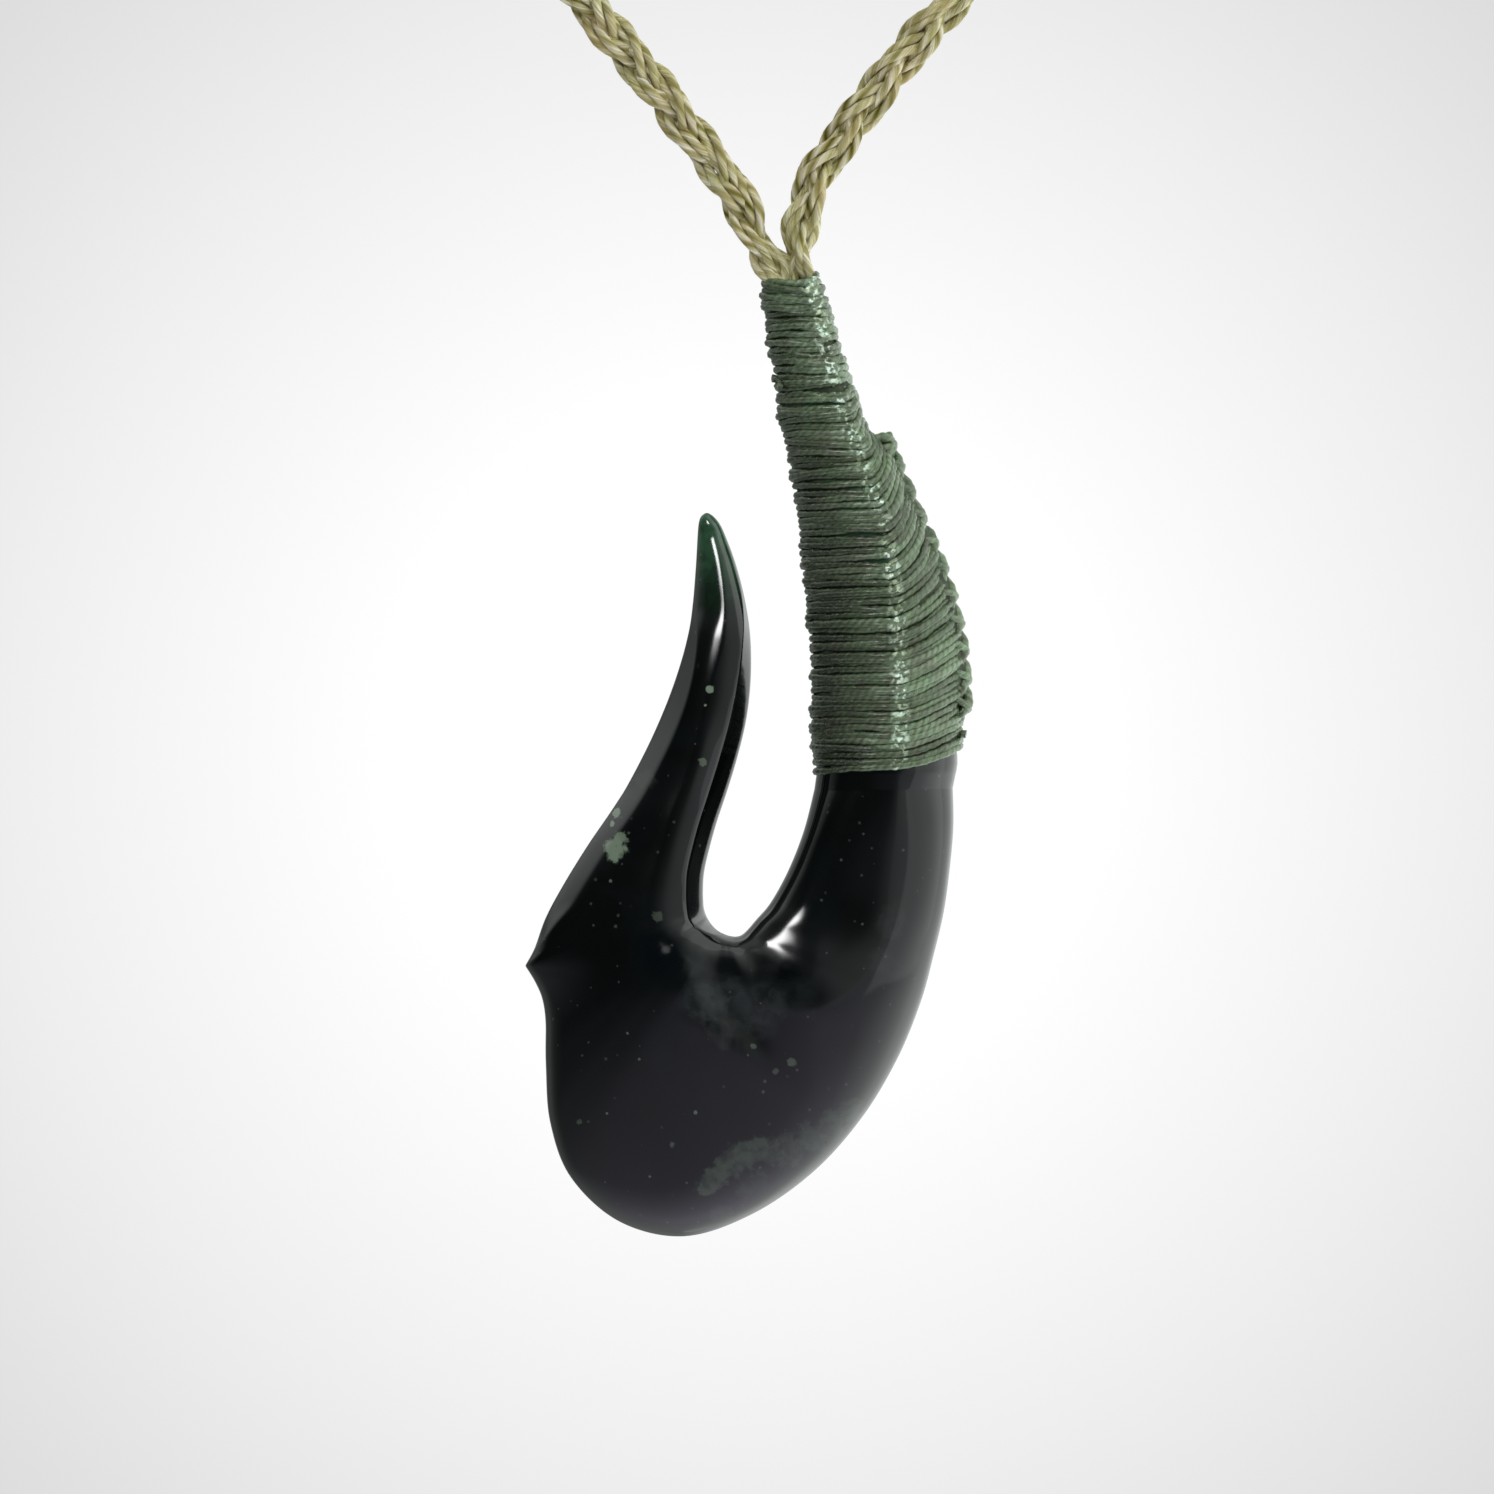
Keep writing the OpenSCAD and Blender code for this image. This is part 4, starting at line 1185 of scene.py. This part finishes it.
# Stage: a pale floor well below, a pale surround and softboxes
stageSettings = {
    "floorPlace": (0, -0.056, -0.46),
    "floorRadius": 0.95,
    "floorSides": 96,
    "floorFade": (0.55, 0.98),       # shares of the radius where it begins to fade and is gone
    "floorColours": [(0.78, 0.78, 0.78, 1), (0.82, 0.82, 0.82, 1)],
    # The backdrop's greys, from the picture's middle outwards
    "backdrop": [(0.28, (1.0, 1.0, 1.0, 1)), (0.565, (0.855, 0.855, 0.855, 1)),
                 (0.80, (0.723, 0.723, 0.723, 1))],
    "backdropSpread": 5.0,
    # What the polished stone mirrors, as levels by azimuth in rows by elevation (degrees; azimuth 0 is
    # the camera's side, plus is right): (azimuth, level) along each row
    "roomScale": 4.0,
    "roomRows": [
        (-75, [(-180, 1.2), (-70, 1.25), (0, 1.5), (60, 2.3), (110, 2.6), (180, 1.2)]),
        (-55, [(-180, 0.8), (-130, 0.8), (-80, 0.9), (-40, 1.0), (0, 1.4), (30, 1.6), (70, 2.1), (100, 3.2),
               (130, 3.4), (160, 1.8), (180, 0.8)]),
        (-35, [(-180, 0.4), (-130, 0.4), (-95, 0.45), (-60, 0.3), (0, 0.4), (40, 0.55), (70, 1.25),
               (100, 2.2), (130, 2.4), (160, 1.9), (180, 0.4)]),
        (-15, [(-180, 0.3), (-130, 0.3), (-100, 0.45), (-70, 0.16), (-30, 0.21), (0, 0.3), (25, 0.36),
               (50, 0.6), (75, 1.2), (100, 1.8), (130, 1.6), (160, 1.2), (180, 0.3)]),
        (2, [(-180, 0.3), (-130, 0.25), (-100, 0.45), (-80, 0.15), (-60, 0.02), (0, 0.03), (5, 0.05),
               (15, 0.38), (28, 0.5), (42, 0.42), (65, 0.66), (85, 1.25), (110, 1.4), (150, 1.4),
               (180, 0.3)]),
        (18, [(-180, 0.3), (-130, 0.3), (-105, 0.55), (-90, 0.3), (-80, 0.2), (-65, 0.02), (-14, 0.02),
               (-2, 0.08), (10, 0.42), (25, 0.5), (60, 0.65), (90, 1.3), (150, 1.3), (180, 0.3)]),
        (36, [(-180, 0.7), (-125, 1.3), (-100, 1.1), (-85, 1.0), (-76, 0.7), (-60, 0.15), (-24, 0.15),
               (-8, 0.35), (15, 0.85), (50, 1.05), (100, 0.8), (150, 0.6), (180, 0.7)]),
        (60, [(-180, 0.4), (-100, 0.5), (-20, 0.6), (20, 0.75), (60, 0.75), (120, 0.5), (180, 0.4)]),
    ],
    "tintRows": (-60, 0),            # rows between these elevations have tints by azimuth
    "roomTints": [(-60, (0.98, 0.93, 1.18)), (30, (0.98, 0.96, 1.12)), (80, (0.98, 1.02, 1.0))],
    "plainTint": (0.97, 1.02, 1.0),
    # Bright windows: azimuth from, to, softness, elevation from, to, softness, level
    "windows": [
        (-27, -12, 5, 24, 40, 5, 0.8),
        (-28, -18, 2, 20.5, 34, 1.5, 20.0),
    ],
    # name, place from the view's centre in metres, size, watts, colour
    "softboxes": [
        ("topBox", (0.60, -0.25, 0.72), (1.4, 1.4), 2.7, (1.0, 0.99, 0.97)),
        ("rightBox", (1.30, -0.60, 0.40), (2.0, 2.0), 4.9, (0.99, 1.0, 0.99)),
    ],
}


def makeFloor(s):
    material, tree, shader = newMaterial("paleFloor", {"Roughness": 0.9})
    here = objectPlace(tree)
    grain = mottle(tree, here, {"Scale": 3.0})
    tree.links.new(mixColour(tree, grain, *s["floorColours"]), shader.inputs["Base Color"])
    far = vectorNode(tree, "LENGTH", here)["Value"]
    fade = mapRange(tree, far, *(s["floorRadius"] * share for share in s["floorFade"]), 1.0, 0.0)
    tree.links.new(fade, shader.inputs["Alpha"])
    mesh = bpy.data.meshes.new("paleFloor")
    ring = [(s["floorRadius"] * math.cos(a), s["floorRadius"] * math.sin(a), 0)
            for a in np.linspace(0, fullTurn, s["floorSides"], endpoint=False)]
    mesh.from_pydata(ring, [], [tuple(range(s["floorSides"]))])
    mesh.materials.append(material)
    floor = placeObject("paleFloor", mesh)
    floor.location = s["floorPlace"]
    floor.visible_glossy = False      # the surround's levels stand for it in the stone's reflections
    floor.visible_diffuse = False


def cardEdge(tree, value, start, soft, levels):
    # A soft step at one edge, from the first level to the second
    low, high = start - soft, start + soft
    return mapRange(tree, value, low, high, *levels)


def cardMask(tree, azimuth, elevation, card):
    # One soft-edged area of the surround
    west, east, soft, low, high, softHeight = card
    rise, fall = (0.0, 1.0), (1.0, 0.0)
    sideways = times(tree, cardEdge(tree, azimuth, west, soft, rise),
                     cardEdge(tree, azimuth, east, soft, fall))
    upright = times(tree, cardEdge(tree, elevation, low, softHeight, rise),
                    cardEdge(tree, elevation, high, softHeight, fall))
    return times(tree, sideways, upright)


def addRamp(tree, value, stops):
    # stops: position and colour, from the first to the last
    node = addNode(tree, "ShaderNodeValToRGB", {0: value})
    elements = node.color_ramp.elements
    for k, (position, colour) in enumerate(stops):
        last = len(elements) - 1
        stop = elements[0] if k == 0 else elements[last] if k == len(stops) - 1 else elements.new(position)
        stop.position = position
        stop.color = colour
    return node.outputs[0]


def roomTint(s, height, azimuth):
    if not s["tintRows"][0] < height < s["tintRows"][1]:
        return s["plainTint"]
    places, tints = zip(*s["roomTints"])
    return [np.interp(abs(azimuth), places, channel) for channel in zip(*tints)]


def makeRoom(s):
    world = bpy.data.worlds.new("paleRoom")
    bpy.context.scene.world = world
    world.use_nodes = True
    tree = world.node_tree
    tree.nodes.clear()
    generated = addNode(tree, "ShaderNodeTexCoord").outputs["Generated"]
    x, y, z = addNode(tree, "ShaderNodeSeparateXYZ", {0: generated}).outputs
    flat = mathNode(tree, "SQRT", mathNode(tree, "ADD", times(tree, x, x), times(tree, z, z)))
    spread = mathNode(tree, "DIVIDE", flat, mathNode(tree, "MAXIMUM", y, 0.05))
    spread = mathNode(tree, "MULTIPLY", spread, s["backdropSpread"], clamp=True)
    backdrop = addNode(tree, "ShaderNodeBackground", {0: addRamp(tree, spread, s["backdrop"]), 1: 1.0})
    azimuth = mathNode(tree, "ARCTAN2", x, times(tree, y, -1.0))
    azimuth = times(tree, azimuth, 180 / math.pi)
    elevation = times(tree, mathNode(tree, "ARCSINE", z), 180 / math.pi)
    turn = timesPlus(tree, azimuth, 1 / 360, 0.5)
    room, below = None, None
    for height, levels in s["roomRows"]:
        colour = addRamp(tree, turn, [
            (side / 360 + 0.5, [level * t / s["roomScale"] for t in roomTint(s, height, side)] + [1])
            for side, level in levels])
        if room is None:
            room = colour
        else:
            rise = mapRange(tree, elevation, float(below), float(height), kind="LINEAR")
            room = mixColour(tree, rise, room, colour)
        below = height
    for *card, level in s["windows"]:
        grey = level / s["roomScale"]
        room = mixColour(tree, cardMask(tree, azimuth, elevation, card), room, (grey, grey, grey, 1))
    fill = addNode(tree, "ShaderNodeBackground", {0: room, 1: s["roomScale"]})
    seen = addNode(tree, "ShaderNodeLightPath").outputs["Is Camera Ray"]
    mix = addNode(tree, "ShaderNodeMixShader", {0: seen, 1: fill.outputs[0], 2: backdrop.outputs[0]})
    addNode(tree, "ShaderNodeOutputWorld", {"Surface": mix.outputs[0]})


def makeLamps(s):
    for name, place, size, watts, colour in s["softboxes"]:
        light = bpy.data.lights.new(name, "AREA")
        light.shape = "RECTANGLE"
        light.size, light.size_y = size
        light.energy = watts
        light.color = colour
        lamp = placeObject(name, light)
        lamp.location = viewCentre + Vector(place)
        lamp.rotation_mode = "QUATERNION"
        lamp.rotation_quaternion = (-Vector(place)).to_track_quat("-Z", "Y")
        lamp.visible_camera = False


makeFloor(stageSettings)
makeRoom(stageSettings)
makeLamps(stageSettings)
bpy.context.scene.view_settings.view_transform = "Standard"
bpy.context.scene.view_settings.look = "None"
print("stage lit")
